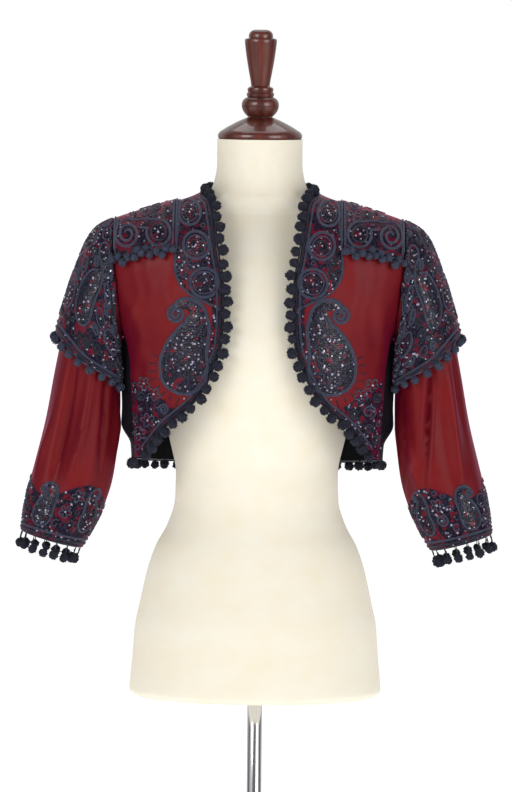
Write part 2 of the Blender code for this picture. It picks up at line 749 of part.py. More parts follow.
def cuff_curve(t):
    turn = 2 * math.pi * t
    point, normal = sleeve_surface(10.0, turn)
    outward = (point - sleeve_point(9.9, turn)).normalized()
    hang = (outward + Vector((0, 0, -1.2))).normalized()
    hang = (hang - normal * hang.dot(normal)).normalized()
    return point - normal * CLOTH / 2, normal, hang


def applique(name, place, size, mirror, look, lanes=2, height=0.0018, curl=1):
    """A paisley plate on a wall; place(across, up) gives the wall's outer point and normal."""
    rows = []
    for k, spine in enumerate(PAISLEY):
        before, after = PAISLEY[max(k - 1, 0)], PAISLEY[min(k + 1, len(PAISLEY) - 1)]
        heading = Vector((after.across - before.across, after.up - before.up, 0)).normalized()
        row = []
        for lane in range(-lanes, lanes + 1):
            share = lane / lanes
            across = spine.across + heading.y * spine.half_width * share
            up = spine.up - heading.x * spine.half_width * share
            point, normal = place(across * size * curl, up * size)
            crown = height * (0.7 + 0.3 * (1 - share * share))
            row.append((point + normal * 0.0008, point + normal * (0.0008 + crown)))
        rows.append(row)
    return wall(name, mirrored(rows, mirror), look)


def on_body(x, z, side):
    """Place paisleys on the fronts or the back about a centre."""
    def place(across, up):
        girth = girth_at(x + across, z + up)
        normal = body_normal(x + across, girth, side)
        return body_point(x + across, girth, side) + normal * CLOTH, normal
    return place


def on_sleeve(s, turn, radius, length):
    """Place paisleys on the sleeve; radius and length turn metres into turn and s."""
    def place(across, up):
        point, normal = sleeve_surface(s - up / length, turn + across / radius)
        return point + normal * 0.0005, normal
    return place


def on_oversleeve(t, turn, radius, length):
    def place(across, up):
        point, normal = over_frame(t - up / length, turn + across / radius)
        return point + normal * (CLOTH + EMBROIDERY), normal
    return place


def make_jacket():
    for word, sign in (("left", -1), ("right", 1)):
        wall("front_" + word, mirrored(front_rows(), sign), WINE)
        wall("side_" + word, mirrored(side_rows(), sign), LINING)
        tube("sleeve_" + word, mirrored(sleeve_rings(), sign), WINE)
        wall("oversleeve_" + word, mirrored(over_rows(), sign), NAVY)
        wall("yoke_" + word, mirrored(yoke_rows(), sign), WINE)
    wall("back", back_rows(), WINE)


def make_pompoms():
    for word, sign in (("left", -1), ("right", 1)):
        pompom_strip("front_pompoms_" + word, even_frames(front_edge_curve, 28), NAVY, mirror=sign)
        for side, face in ((-1, "front"), (1, "back")):
            pompom_strip(f"yoke_{face}_pompoms_{word}", even_frames(yoke_edge_curve(side), 13),
                         SLATE, lift=0.0050, size=0.0038, every=2, mirror=sign)
        pompom_strip("oversleeve_pompoms_" + word, even_frames(over_hem_curve, 18), SLATE,
                     lift=0.0022, size=0.0042, mirror=sign)
        pompom_strip("cuff_pompoms_" + word, even_frames(cuff_curve, 16, True), NAVY,
                     closed=True, lift=0.0, string=0.012, size=0.0045, mirror=sign)
    pompom_strip("neck_pompoms", even_frames(neck_edge_curve, 12), NAVY)
    pompom_strip("hem_pompoms", even_frames(hem_edge_curve, 29), NAVY, lift=0.001)


def make_appliques():
    for word, sign in (("left", -1), ("right", 1)):
        applique("front_paisley_" + word, on_body(0.0940, 1.1250, -1), 1.0, sign, NAVY, lanes=2)
        applique("back_paisley_" + word, on_body(0.0700, 1.1100, 1), 0.85, sign, NAVY, lanes=1)
        for face, turn, curl in (("front", 62, -1), ("back", -62, 1)):
            place = on_oversleeve(0.66, math.radians(turn), 0.060, 0.115)
            applique(f"oversleeve_{face}_paisley_{word}", place, 0.52, sign, SLATE, lanes=1,
                     curl=curl)
            place = on_sleeve(9.35, math.radians(turn), 0.045, 0.0390)
            applique(f"cuff_{face}_paisley_{word}", place, 0.42, sign, SLATE, lanes=1, curl=curl)


def form_ring(row):
    points = []
    for j in range(FORM_AROUND):
        angle = 2 * math.pi * j / FORM_AROUND
        depth = row.front if math.sin(angle) < 0 else row.back
        points.append(Vector((row.half_width * math.cos(angle), depth * math.sin(angle), row.z)))
    return points


def make_form():
    """The padded torso: hips, waist, chest, sloping shoulders and neck in one body."""
    rings = [form_ring(row) for row in FORM]
    for x, depth in SHOULDER_RINGS:
        rings.append(form_ring(Profile(shoulder(x) - REST_GAP, x, depth, depth)))
    rings += [form_ring(row) for row in NECK_RINGS]
    points = [point for ring in rings for point in ring]
    count = FORM_AROUND
    faces = [tuple(range(count)), tuple(range(len(points) - count, len(points)))]
    for i in range(len(rings) - 1):
        for j in range(count):
            k = (j + 1) % count
            faces.append((i * count + j, i * count + k, (i + 1) * count + k, (i + 1) * count + j))
    add_object("dress_form", points, faces, LINEN)


def make_stand():
    lathe("neck_cap", NECK_CAP, 20, MAHOGANY)
    lathe("finial", FINIAL, 16, MAHOGANY)
    pole = [Turned(0.0242 + SEAM, POLE_RADIUS), Turned(FORM[0].z - SEAM, POLE_RADIUS)]
    lathe("pole", pole, 20, CHROME)
    lathe("base", BASE, 36, CHROME)


def main():
    clear_scene()
    make_form()
    make_stand()
    make_jacket()
    make_pompoms()
    make_appliques()


main()
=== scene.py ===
"""A bolero jacket with braid, beads and pompoms on a limbless dress form.

Metres, +Z up. The front faces -Y and +X is the viewer's right. Cloth points are given by x and
by girth, the distance run down the cloth from the shoulder ridge, as in the part's solids.
"""

import bisect
import math
import random
from collections import namedtuple

import bpy
import bmesh
from bpy.props import FloatProperty, FloatVectorProperty, PointerProperty
from mathutils import Matrix, Vector


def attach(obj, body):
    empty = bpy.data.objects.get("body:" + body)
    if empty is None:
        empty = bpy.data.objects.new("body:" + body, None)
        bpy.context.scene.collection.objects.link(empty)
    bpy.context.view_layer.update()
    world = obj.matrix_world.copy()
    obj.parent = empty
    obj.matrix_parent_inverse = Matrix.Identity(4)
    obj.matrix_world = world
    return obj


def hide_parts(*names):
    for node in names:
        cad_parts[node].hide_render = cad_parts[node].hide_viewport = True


bl_info = {
    "name": "Bolero Jacket",
    "version": (1, 0, 0),
    "blender": (4, 5, 0),
    "location": "View3D > Sidebar > Jacket",
    "description": "Dresses the solids of a bolero jacket in silk, braid, beads and pompoms",
    "category": "Add Mesh",
}

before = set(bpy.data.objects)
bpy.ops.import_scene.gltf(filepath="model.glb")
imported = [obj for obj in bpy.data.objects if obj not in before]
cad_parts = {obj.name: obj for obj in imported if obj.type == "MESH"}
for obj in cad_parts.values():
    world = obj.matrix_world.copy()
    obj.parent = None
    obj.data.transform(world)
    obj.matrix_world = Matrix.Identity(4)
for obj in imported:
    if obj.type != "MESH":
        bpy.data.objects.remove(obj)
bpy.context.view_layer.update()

# Camera and studio
CAMERA_DISTANCE = 7.0
CAMERA_ELEVATION = 4.0
CAMERA_ROLL = 0.53
VIEW_CENTRE = (-0.0021, 0.0, 1.0852)
FRAME_HEIGHT = 1.030
SENSOR_HEIGHT = 36.0
Light = namedtuple("Light", "name place size power")
LIGHTS = [Light("key_light", (-2.6, -3.4, 2.9), 2.2, 70.0),
          Light("fill_light", (2.9, -3.2, 2.2), 2.4, 56.0),
          Light("top_light", (0.0, 1.2, 4.2), 2.6, 30.0)]
LIGHT_AIM = (0, 0, 1.1)
FLOOR_RADIUS = 60.0
FLOOR_GLOW = 0.80
ROOM_STRENGTH = 0.62

# Walls and seams, as in the solids
CLOTH = 0.0020
SHELL = 0.0014
SEAM = 0.0003
EMBROIDERY = 0.0010
LAYER_GAP = 0.0020
ROLL = 0.075
BODY_POWER = 2.4
NECK_X = 0.0745
ARM_X = 0.185
EDGE_END_Z = 1.0120
UNDERARM_Z = 1.158
ARMHOLE_MIDDLE_Z = 1.235
SEAM_TOP_Z = 1.175
SLEEVE_SIDE_X = 0.1772
HEM_SIDE_Z = 1.0070
HEM_SLOPE = 0.100
BACK_NECK_DEPTH = 0.0975
REST_GAP = 0.0006
POLE_RADIUS = 0.0095
BASE_RADIUS = 0.195
BAND_FRONT = 0.044
BAND_BACK = 0.028
BLEND_END = 1.6
OVER_REACH = math.radians(148)
OVER_STAND_OFF = 0.0055
OVER_HEM_S = 5.05
YOKE_NECK_X = 0.107
YOKE_ARM_X = 0.1830
YOKE_EDGE_Z = 1.2765
YOKE_EDGE_SLOPE = 0.18
LOBE_PITCH = 0.042
LOBE_DEPTH = 0.0035
COVER_FADE = 0.012
OVER_THICK = CLOTH + EMBROIDERY * 0.6
STRIP_END = 0.0024
POMPOM_REACH = 0.0048

# First angle and sweep, in degrees, of the rows of pompoms at the back neck and round the hem
NECK_ARC, HEM_ARC = (-86, 172), (-13.0, 206.0)

# How flat patterns are laid round the arm: radius, and length from armhole to hem or per station
OVER_DROP = 0.160
OVER_RADIUS = 0.068
CUFF_RADIUS = 0.047
CUFF_STEP = 0.0405

# Grids of the shells
FRONT_ROWS, FRONT_COLUMNS = 76, 34
BACK_ROWS, BACK_HALF_COLUMNS = 64, 30
SIDE_ROWS, SIDE_COLUMNS = 36, 20
SLEEVE_RINGS, SLEEVE_AROUND = 84, 80
OVER_ROWS, OVER_COLUMNS = 30, 84
YOKE_ROWS, YOKE_COLUMNS = 30, 26
FORM_AROUND, FORM_STEPS = 72, 5

SIDES = (("left", -1), ("right", 1))
FACES = ((-1, "front"), (1, "back"))

# Braid, in metres
BRAID = 0.0015
BRAID_RISE = 0.0017
FINE_BRAID = 0.0010
BRAID_STEP = 0.0020
MOTIF_STEP = 0.0008
PIPING_RISE = 0.0046

Ridge = namedtuple("Ridge", "x z")
SHOULDER = [Ridge(*row) for row in (
    (0.0, 1.3700), (0.035, 1.3670), (0.060, 1.3575), (0.080, 1.3445), (0.1275, 1.3290),
    (0.175, 1.3135), (0.190, 1.3080))]

Slice = namedtuple("Slice", "z half_width front back")
BODY = [Slice(*row) for row in (
    (0.985, 0.1610, 0.1160, 0.1120), (1.030, 0.1625, 0.1190, 0.1120),
    (1.050, 0.1655, 0.1205, 0.1120), (1.080, 0.1700, 0.1220, 0.1110),
    (1.120, 0.1715, 0.1225, 0.1100), (1.158, 0.1725, 0.1205, 0.1090),
    (1.175, 0.1805, 0.1185, 0.1085), (1.190, 0.1875, 0.1165, 0.1080),
    (1.235, 0.2040, 0.1090, 0.1060), (1.280, 0.2250, 0.1010, 0.1030),
    (1.320, 0.2500, 0.0950, 0.1000), (1.380, 0.2800, 0.0900, 0.0980))]

Line = namedtuple("Line", "z x")
ARMHOLE = [Line(*row) for row in (
    (1.158, 0.1725), (1.175, 0.1745), (1.190, 0.1765), (1.235, 0.1815), (1.280, 0.1840),
    (1.311, 0.1850))]
SIDE_SEAM = [Line(*row) for row in (
    (0.985, 0.1555), (1.030, 0.1575), (1.080, 0.1605), (1.120, 0.1625), (1.150, 0.1665),
    (1.175, 0.1745))]
FRONT_EDGE = [Line(*row) for row in (
    (1.0030, 0.1560), (1.0120, 0.1460), (1.0300, 0.1340), (1.0530, 0.1170), (1.0690, 0.0995),
    (1.0810, 0.0855), (1.1015, 0.0705), (1.1210, 0.0610), (1.1600, 0.0480), (1.1985, 0.0455),
    (1.2370, 0.0465), (1.2755, 0.0530), (1.3135, 0.0580), (1.3375, 0.0620), (1.3480, NECK_X))]

Station = namedtuple("Station", "s outer_x outer_z inner_x inner_z depth forward")
SLEEVE = [Station(*row) for row in (
    (0, 0.1856, 1.3115, 0.1748, 1.1580, 0.0600, 0.000),
    (1, 0.2035, 1.3030, 0.1762, 1.1500, 0.0610, 0.000),
    (2, 0.2150, 1.2880, 0.1778, 1.1400, 0.0600, 0.001),
    (3, 0.2285, 1.2520, 0.1785, 1.1220, 0.0590, 0.002),
    (4, 0.2410, 1.2130, 0.1785, 1.1000, 0.0560, 0.004),
    (5, 0.2530, 1.1700, 0.1780, 1.0780, 0.0530, 0.006),
    (6, 0.2640, 1.1150, 0.1782, 1.0480, 0.0505, 0.009),
    (7, 0.2745, 1.0560, 0.1815, 1.0160, 0.0490, 0.013),
    (8, 0.2885, 0.9980, 0.1870, 0.9780, 0.0480, 0.018),
    (9, 0.3000, 0.9520, 0.2000, 0.9370, 0.0465, 0.022),
    (10, 0.3060, 0.9130, 0.2245, 0.8900, 0.0425, 0.025))]

# Soft folds of the sleeves: place along, place around in degrees from the outside over the
# front, half length along, half width around in degrees, height, and turn per step along
Fold = namedtuple("Fold", "along around length width height lean")
SOLID_FOLDS = [Fold(*row) for row in (
    (6.6, 75, 2.0, 15, -0.0040, 0), (7.2, 112, 2.2, 16, 0.0030, 0),
    (7.0, 145, 1.8, 14, -0.0035, 0), (7.8, 40, 1.6, 16, 0.0020, 0),
    (6.8, 215, 1.8, 18, -0.0035, 0), (7.4, 265, 2.0, 18, -0.0035, 0),
    (6.4, 310, 1.6, 18, 0.0025, 0))]
SLEEVE_CREASES = {
    "left": [Fold(*row) for row in (
        (6.9, 62, 2.1, 7, -0.0036, 1.5), (7.1, 90, 2.4, 8, 0.0034, -2.0),
        (6.4, 126, 1.7, 6, -0.0030, 3.0), (7.9, 30, 0.9, 6, 0.0018, -4.0),
        (6.0, 160, 1.2, 6, 0.0020, 5.0), (6.8, 238, 2.0, 7, -0.0030, -2.0),
        (7.6, 285, 1.5, 7, 0.0026, 3.0), (5.9, 335, 1.2, 6, -0.0018, 4.0))],
    "right": [Fold(*row) for row in (
        (6.5, 96, 1.6, 6, -0.0040, 14.0), (7.3, 58, 1.8, 8, 0.0028, 5.0),
        (7.8, 130, 1.2, 6, 0.0024, -6.0), (6.0, 32, 1.3, 7, -0.0020, 4.0),
        (7.0, 155, 1.5, 6, -0.0026, 8.0), (6.3, 222, 1.9, 8, 0.0026, -4.0),
        (7.2, 262, 1.7, 6, -0.0032, 3.0), (6.6, 318, 1.4, 7, -0.0020, -5.0))]}

# Creases of the body panels: both ends in x and z, half width, height
Crease = namedtuple("Crease", "x_a z_a x_b z_b width height")
FRONT_CREASES = {
    "left": [Crease(*row) for row in (
        (0.168, 1.215, 0.132, 1.120, 0.0070, 0.0030), (0.162, 1.170, 0.150, 1.095, 0.0050, 0.0022),
        (0.118, 1.262, 0.112, 1.190, 0.0080, 0.0014), (0.138, 1.268, 0.141, 1.205, 0.0060, 0.0013),
        (0.155, 1.255, 0.158, 1.180, 0.0050, 0.0016), (0.128, 1.075, 0.140, 1.125, 0.0060, 0.0018))],
    "right": [Crease(*row) for row in (
        (0.170, 1.230, 0.146, 1.105, 0.0065, 0.0020), (0.160, 1.250, 0.151, 1.140, 0.0080, 0.0022),
        (0.125, 1.266, 0.118, 1.170, 0.0090, 0.0015), (0.143, 1.262, 0.136, 1.150, 0.0060, 0.0012),
        (0.152, 1.120, 0.140, 1.085, 0.0060, 0.0018))]}
BACK_CREASES = [Crease(*row) for row in (
    (-0.150, 1.200, -0.118, 1.075, 0.0080, 0.0026), (-0.160, 1.160, -0.135, 1.050, 0.0060, 0.0018),
    (-0.030, 1.230, -0.022, 1.080, 0.0110, 0.0014), (0.026, 1.255, 0.014, 1.060, 0.0090, 0.0013),
    (0.148, 1.210, 0.122, 1.085, 0.0075, 0.0024), (0.158, 1.150, 0.145, 1.040, 0.0065, 0.0016))]

# Outer edge of the embroidered band beside the neck
BAND_EDGE = [Line(*row) for row in (
    (1.2030, 0.0500), (1.2110, 0.0660), (1.2180, 0.0820), (1.2270, 0.0950), (1.2400, 0.1045),
    (1.2560, 0.1085), (1.2850, 0.1070), (1.3200, 0.1040), (1.3500, 0.1040))]

# Other embroidered parts: the borders' widths, the slanting top of the fronts' lower corner,
# the bib under the back neck and the roundels of the front band
FRONT_BORDER, BACK_BORDER = 0.0130, 0.0085
CORNER_X, CORNER_TOP_Z, CORNER_SLOPE = 0.156, 1.1080, 0.62
BIB_X, BIB_DEPTH, BIB_TOP_Z = 0.108, 0.092, 1.346
Roundel = namedtuple("Roundel", "x z radius")
ROUNDELS = [Roundel(0.0690, 1.2370, 0.0185), Roundel(0.0800, 1.2840, 0.0165),
            Roundel(0.0885, 1.3230, 0.0150)]

Spine = namedtuple("Spine", "across up half_width")
PAISLEY = [Spine(*row) for row in (
    (0.000, -0.0300, 0.0060), (0.000, -0.0230, 0.0195), (0.000, -0.0090, 0.0285),
    (0.000, 0.0060, 0.0300), (-0.003, 0.0240, 0.0270), (-0.010, 0.0420, 0.0215),
    (-0.016, 0.0570, 0.0160), (-0.017, 0.0710, 0.0110), (-0.010, 0.0820, 0.0080),
    (0.000, 0.0850, 0.0065), (0.0080, 0.0800, 0.0050), (0.0090, 0.0730, 0.0035))]

SpineAt = namedtuple("SpineAt", "k across up half_width")
SPINE_TABLE = [SpineAt(number, *spine) for number, spine in enumerate(PAISLEY)]
HOOK = (0.0100, 0.0715)
FRONT_DROP, BACK_DROP = (0.0940, 1.1250), (0.0700, 1.1100)
BACK_DROP_SIZE, OVER_DROP_SIZE, CUFF_DROP_SIZE = 0.85, 0.52, 0.42

# Middle of a small paisley along the arm, then the flat pattern's length and radius there
OVER_SPOT, CUFF_SPOT = (0.66, 0.115, 0.060), (9.35, 0.0390, 0.045)

# A paisley's beaded ground: its height in the middle, its lift off the solid's plate, and how
# high the braid lies on it
GROUND_HEIGHT, GROUND_LIFT, GROUND_BRAID = 0.0012, 0.0002, 0.0008

Profile = namedtuple("Profile", "z half_width front back")
FORM = [Profile(*row) for row in (
    (0.694, 0.1560, 0.1080, 0.1180), (0.703, 0.1640, 0.1150, 0.1250),
    (0.750, 0.1600, 0.1130, 0.1260), (0.7875, 0.1570, 0.1110, 0.1250),
    (0.8135, 0.1515, 0.1080, 0.1210), (0.8395, 0.1460, 0.1040, 0.1150),
    (0.8655, 0.1395, 0.1000, 0.1070), (0.8915, 0.1300, 0.0950, 0.0970),
    (0.9175, 0.1160, 0.0890, 0.0880), (0.9500, 0.1065, 0.0850, 0.0820),
    (0.9850, 0.1055, 0.0850, 0.0810), (1.0280, 0.1140, 0.0910, 0.0830),
    (1.0700, 0.1250, 0.0990, 0.0870), (1.1100, 0.1350, 0.1070, 0.0910),
    (1.1550, 0.1430, 0.1110, 0.0930), (1.2000, 0.1480, 0.1040, 0.0930),
    (1.2500, 0.1530, 0.0880, 0.0880), (1.2850, 0.1600, 0.0700, 0.0740))]
FORM_SHOULDERS = [(0.160, 0.050), (0.140, 0.046), (0.110, 0.044), (0.080, 0.045)]
NECK_RINGS = [Profile(*row) for row in (
    (1.3510, 0.0650, 0.0480, 0.0480), (1.3680, 0.0580, 0.0530, 0.0530),
    (1.3860, 0.0555, 0.0555, 0.0555), (1.4190, 0.0553, 0.0553, 0.0553))]

Turned = namedtuple("Turned", "z radius")
NECK_CAP = [Turned(*row) for row in (
    (1.4195, 0.0480), (1.4195, 0.0530), (1.4210, 0.0545), (1.4245, 0.0548), (1.4262, 0.0538),
    (1.4285, 0.0520), (1.4310, 0.0480), (1.4340, 0.0435), (1.4368, 0.0385), (1.4395, 0.0335),
    (1.4420, 0.0285), (1.4440, 0.0240), (1.4460, 0.0195), (1.4475, 0.0160))]
FINIAL = [Turned(*row) for row in (
    (1.4478, 0.0158), (1.4500, 0.0180), (1.4520, 0.0200), (1.4553, 0.0222), (1.4590, 0.0236),
    (1.4625, 0.0242), (1.4660, 0.0240), (1.4692, 0.0226), (1.4715, 0.0205), (1.4728, 0.0182),
    (1.4735, 0.0165), (1.4748, 0.0172), (1.4770, 0.0180), (1.4790, 0.0172), (1.4800, 0.0160),
    (1.4815, 0.0166), (1.4835, 0.0170), (1.4855, 0.0162), (1.4868, 0.0132), (1.4880, 0.0120),
    (1.4950, 0.0130), (1.5050, 0.0149), (1.5150, 0.0167), (1.5250, 0.0183), (1.5350, 0.0197),
    (1.5440, 0.0207), (1.5468, 0.0210), (1.5485, 0.0202), (1.5493, 0.0175), (1.5500, 0.0157),
    (1.5530, 0.0158), (1.5560, 0.0150), (1.5588, 0.0125), (1.5605, 0.0085))]
BASE = [Turned(*row) for row in (
    (0.0, BASE_RADIUS - 0.001), (0.001, BASE_RADIUS), (0.006, BASE_RADIUS),
    (0.0085, BASE_RADIUS - 0.0012), (0.0105, BASE_RADIUS - 0.005), (0.0125, 0.160),
    (0.0146, 0.115), (0.0170, 0.070), (0.0195, 0.048), (0.0225, 0.036), (0.0240, 0.032),
    (0.0240, POLE_RADIUS + 0.0005))]

# How each pompom strip is made: balls, lift off the cloth, ball radius, string, and how far
# every second ball is moved outwards
Trim = namedtuple("Trim", "count lift ball string tone stagger")
TRIMS = {"front": Trim(28, 0.0035, 0.0076, 0.0, "navy", -0.0022),
         "yoke": Trim(13, 0.0050, 0.0056, 0.0, "slate", -0.0062),
         "oversleeve": Trim(18, 0.0022, 0.0064, 0.0, "slate", 0.0),
         "cuff": Trim(16, 0.0, 0.0066, 0.012, "navy", 0.0),
         "neck": Trim(12, 0.0035, 0.0066, 0.0, "navy", 0.0),
         "hem": Trim(29, 0.0010, 0.0067, 0.0, "navy", 0.0)}

# Silks: main and second thread, seen edge on (the shot silk's change of hue, partly painted shade on
# the folds' flanks), rubbed under the embroidery, roughness and sheen
Look = namedtuple("Look", "colour second deep worn roughness sheen")
WINE = Look((0.125, 0.0045, 0.0090), (0.225, 0.0095, 0.0075), (0.050, 0.0018, 0.0110),
            (0.115, 0.0035, 0.0150), 0.38, (0.62, 0.01, 0.14))
LINING = Look((0.006, 0.006, 0.009), (0.014, 0.014, 0.020), (0.004, 0.004, 0.006),
              (0.006, 0.006, 0.009), 0.55, (0.20, 0.20, 0.30))


class JacketSettings(bpy.types.PropertyGroup):
    """Sizes and colours of the jacket that a user would change."""

    silk_colour: FloatVectorProperty(
        name="Silk colour", description="Main colour of the shot silk", subtype="COLOR", size=3,
        min=0.0, max=1.0, default=WINE.colour)
    navy_wool: FloatVectorProperty(
        name="Navy wool", description="Colour of the edge pompoms and dark braid",
        subtype="COLOR", size=3, min=0.0, max=1.0, default=(0.0070, 0.0075, 0.0140))
    slate_wool: FloatVectorProperty(
        name="Slate wool", description="Colour of the shoulder pompoms and pale braid",
        subtype="COLOR", size=3, min=0.0, max=1.0, default=(0.043, 0.050, 0.086))
    linen_colour: FloatVectorProperty(
        name="Linen colour", description="Colour of the dress form's cover", subtype="COLOR",
        size=3, min=0.0, max=1.0, default=(0.815, 0.77, 0.66))
    crease_depth: FloatProperty(
        name="Crease depth", description="How deep the creases are, 1 as in the photograph",
        min=0.0, max=1.5, default=1.0)
    pompom_size: FloatProperty(
        name="Pompom size", description="Size of every pompom, 1 as made", min=0.6, max=1.2,
        default=1.0)


PREPARED = {}


def read(table, key, column, at):
    """Read a column of a table at a key value, along a smooth curve that never overshoots.

    The tables live as long as the script, so each keeps its own id in PREPARED.
    """
    if (id(table), column) not in PREPARED:
        keys = [getattr(row, key) for row in table]
        values = [getattr(row, column) for row in table]
        slopes = [(values[i + 1] - values[i]) / (keys[i + 1] - keys[i])
                  for i in range(len(keys) - 1)]
        tangents = [slopes[0]]
        for left, right in zip(slopes, slopes[1:]):
            tangents.append(2 * left * right / (left + right) if left * right > 0 else 0.0)
        tangents.append(slopes[-1])
        PREPARED[id(table), column] = (keys, values, tangents)
    keys, values, tangents = PREPARED[id(table), column]
    if at <= keys[0]:
        return values[0]
    if at >= keys[-1]:
        return values[-1]
    i = bisect.bisect_right(keys, at) - 1
    step = keys[i + 1] - keys[i]
    t = (at - keys[i]) / step
    return (values[i] * (1 + 2 * t) * (1 - t) ** 2 + tangents[i] * step * t * (1 - t) ** 2
            + values[i + 1] * t * t * (3 - 2 * t) + tangents[i + 1] * step * t * t * (t - 1))


def ease(t):
    t = min(max(t, 0.0), 1.0)
    return t * t * (3 - 2 * t)


def shoulder(x):
    return read(SHOULDER, "x", "z", abs(x))


def drop(girth):
    """Height lost after running this far down from the ridge."""
    if girth < ROLL * math.pi / 2:
        return ROLL * (1 - math.cos(girth / ROLL))
    return ROLL + girth - ROLL * math.pi / 2


def height_at(x, girth):
    return shoulder(x) - drop(girth)


def girth_at(x, z):
    fall = shoulder(x) - z
    if fall < ROLL:
        return ROLL * math.acos(1 - max(fall, 0.0) / ROLL)
    return fall - ROLL + ROLL * math.pi / 2


def body_size(z, side):
    """Half width and depth of the body; side is -1 on the front and +1 on the back."""
    return read(BODY, "z", "half_width", z), read(BODY, "z", "front" if side < 0 else "back", z)


def body_point(x, girth, side):
    """A point of the jacket's inner face."""
    z = height_at(x, girth)
    width, depth = body_size(z, side)
    ratio = min(abs(x) / width, 1.0)
    roll = math.sin(min(girth / ROLL, math.pi / 2))
    return Vector((x, side * depth * roll * (1 - ratio ** BODY_POWER) ** (1 / BODY_POWER), z))


def body_measure(point, z, side):
    width, depth = body_size(z, side)
    return (abs(point.x) / width) ** BODY_POWER + (abs(point.y) / depth) ** BODY_POWER


def body_normal(x, girth, side):
    """The outward direction of the jacket's surface there."""
    if girth < ROLL * math.pi / 2:
        step = 0.0004
        across = body_point(x + step, girth, side) - body_point(x - step, girth, side)
        along = body_point(x, girth + step, side) - body_point(x, abs(girth - step), side)
        if girth < step:
            along = Vector((0, side, 0))
        return across.cross(along).normalized() * side
    point = body_point(x, girth, side)
    step = 0.0005
    width, depth = body_size(point.z, side)
    slope_x = BODY_POWER * (abs(point.x) / width) ** (BODY_POWER - 1) / width
    slope_y = BODY_POWER * (abs(point.y) / depth) ** (BODY_POWER - 1) / depth
    slope_z = body_measure(point, point.z + step, side) - body_measure(point, point.z - step, side)
    normal = Vector((math.copysign(slope_x, x), side * slope_y, slope_z / (2 * step)))
    return normal.normalized()


def hem_z(y):
    """Height of the side and back hem, which falls a little towards the back."""
    return HEM_SIDE_Z - HEM_SLOPE * max(y + 0.04, 0.0)


def front_edge(girth):
    """x of the front's free edge at a girth."""
    z = 1.348 - drop(girth)
    for _ in range(30):
        x = read(FRONT_EDGE, "z", "x", z)
        z = 0.5 * z + 0.5 * height_at(x, girth)
    return x


def edge_end():
    """Girth at the lower end of the front's free edge."""
    return girth_at(read(FRONT_EDGE, "z", "x", EDGE_END_Z), EDGE_END_Z)


def armhole(turn):
    """x and girth on the armhole; turn runs from 0 at the ridge to pi at the underarm."""
    top = shoulder(ARM_X)
    z = (top + UNDERARM_Z) / 2 + (top - UNDERARM_Z) / 2 * math.cos(turn)
    x = read(ARMHOLE, "z", "x", z)
    return x, (0.0 if turn < 1e-6 else girth_at(x, z))


def seam_turn():
    top = shoulder(ARM_X)
    return math.acos((SEAM_TOP_Z - (top + UNDERARM_Z) / 2) / ((top - UNDERARM_Z) / 2))


def seam_line(t, side):
    """x and girth down the side seam, from the armhole at 0 to the hem at 1."""
    bottom = HEM_SIDE_Z if side < 0 else hem_z(0.05)
    z = SEAM_TOP_Z + (bottom - SEAM_TOP_Z) * t
    x = read(SIDE_SEAM, "z", "x", z)
    return x, girth_at(x, z)


def outer_boundary(t, side):
    """x and girth of the armhole, then of the side seam; t runs from 0 to 1."""
    split = 9 / 16
    if t <= split:
        return armhole(seam_turn() * (t / split) ** 1.25)
    return seam_line((t - split) / (1 - split), side)


def crease_height(x, z, creases):
    """Height that the creases of a panel give its surface at x and z."""
    total = 0.0
    for crease in creases:
        run_x, run_z = crease.x_b - crease.x_a, crease.z_b - crease.z_a
        length = math.hypot(run_x, run_z)
        along = ((x - crease.x_a) * run_x + (z - crease.z_a) * run_z) / length ** 2
        if not -0.35 < along < 1.35:
            continue
        across = ((x - crease.x_a) * run_z - (z - crease.z_a) * run_x) / length
        across += 0.004 * math.sin(7 * along + 90 * crease.x_a)
        end = ease((along + 0.35) / 0.7) * ease((1.35 - along) / 0.7)
        total += crease.height * end * math.exp(-(across / crease.width) ** 2)
    return total * bpy.context.scene.jacket.crease_depth


def neck_distance(x, girth):
    """How far from the back neckline this is."""
    depth = BACK_NECK_DEPTH * math.sin(min(girth / ROLL, 1.57))
    return math.hypot(x, depth) - NECK_X


def raised(x, girth, side):
    """Extra height of the braid and bead work beside the front and back neck."""
    z = height_at(x, girth)
    if side < 0:
        band = BAND_FRONT + front_edge(girth) - x
    else:
        band = BAND_BACK - neck_distance(x, girth)
    return EMBROIDERY * ease(band / COVER_FADE) * ease((z - 1.225) / 0.02)


def neck_girth(x):
    """Girth of the back neckline, a circle about the form's neck."""
    reach = math.sqrt(max(NECK_X ** 2 - x * x, 0.0))
    return ROLL * math.asin(min(reach / BACK_NECK_DEPTH, 1.0))


def back_hem(x):
    """Height of the back hem at x."""
    return hem_z(body_point(x, girth_at(x, 1.0), 1).y)


def front_cover(x, z, from_edge):
    """How far inside the embroidered part of a front this is, in metres.

    The first two roundels have a crescent of bare silk on their outer side.
    """
    border = FRONT_BORDER - from_edge
    band = min(read(BAND_EDGE, "z", "x", z) - x, 2 * (z - BAND_EDGE[0].z))
    corner = min(CORNER_TOP_Z - CORNER_SLOPE * (CORNER_X - x) - z, CORNER_X + 0.004 - x)
    cover = max(border, band, corner)
    for roundel in ROUNDELS[:2]:
        reach = math.hypot(x - roundel.x, z - roundel.z)
        beside = ease((x - roundel.x) / roundel.radius + 0.2)
        cover = min(cover, abs(reach - roundel.radius - 0.0040) * 2 + 0.006 - 0.0085 * beside)
    return cover


def scallop(x):
    """Height of the back's embroidered border above the hem."""
    return 0.034 + 0.014 * math.cos(x * 52) ** 2


def bib_reach(angle):
    """The embroidered bib under the back neck, as a share of its ellipse; angle 0 is down."""
    return 1 + 0.045 * math.cos(10 * angle)


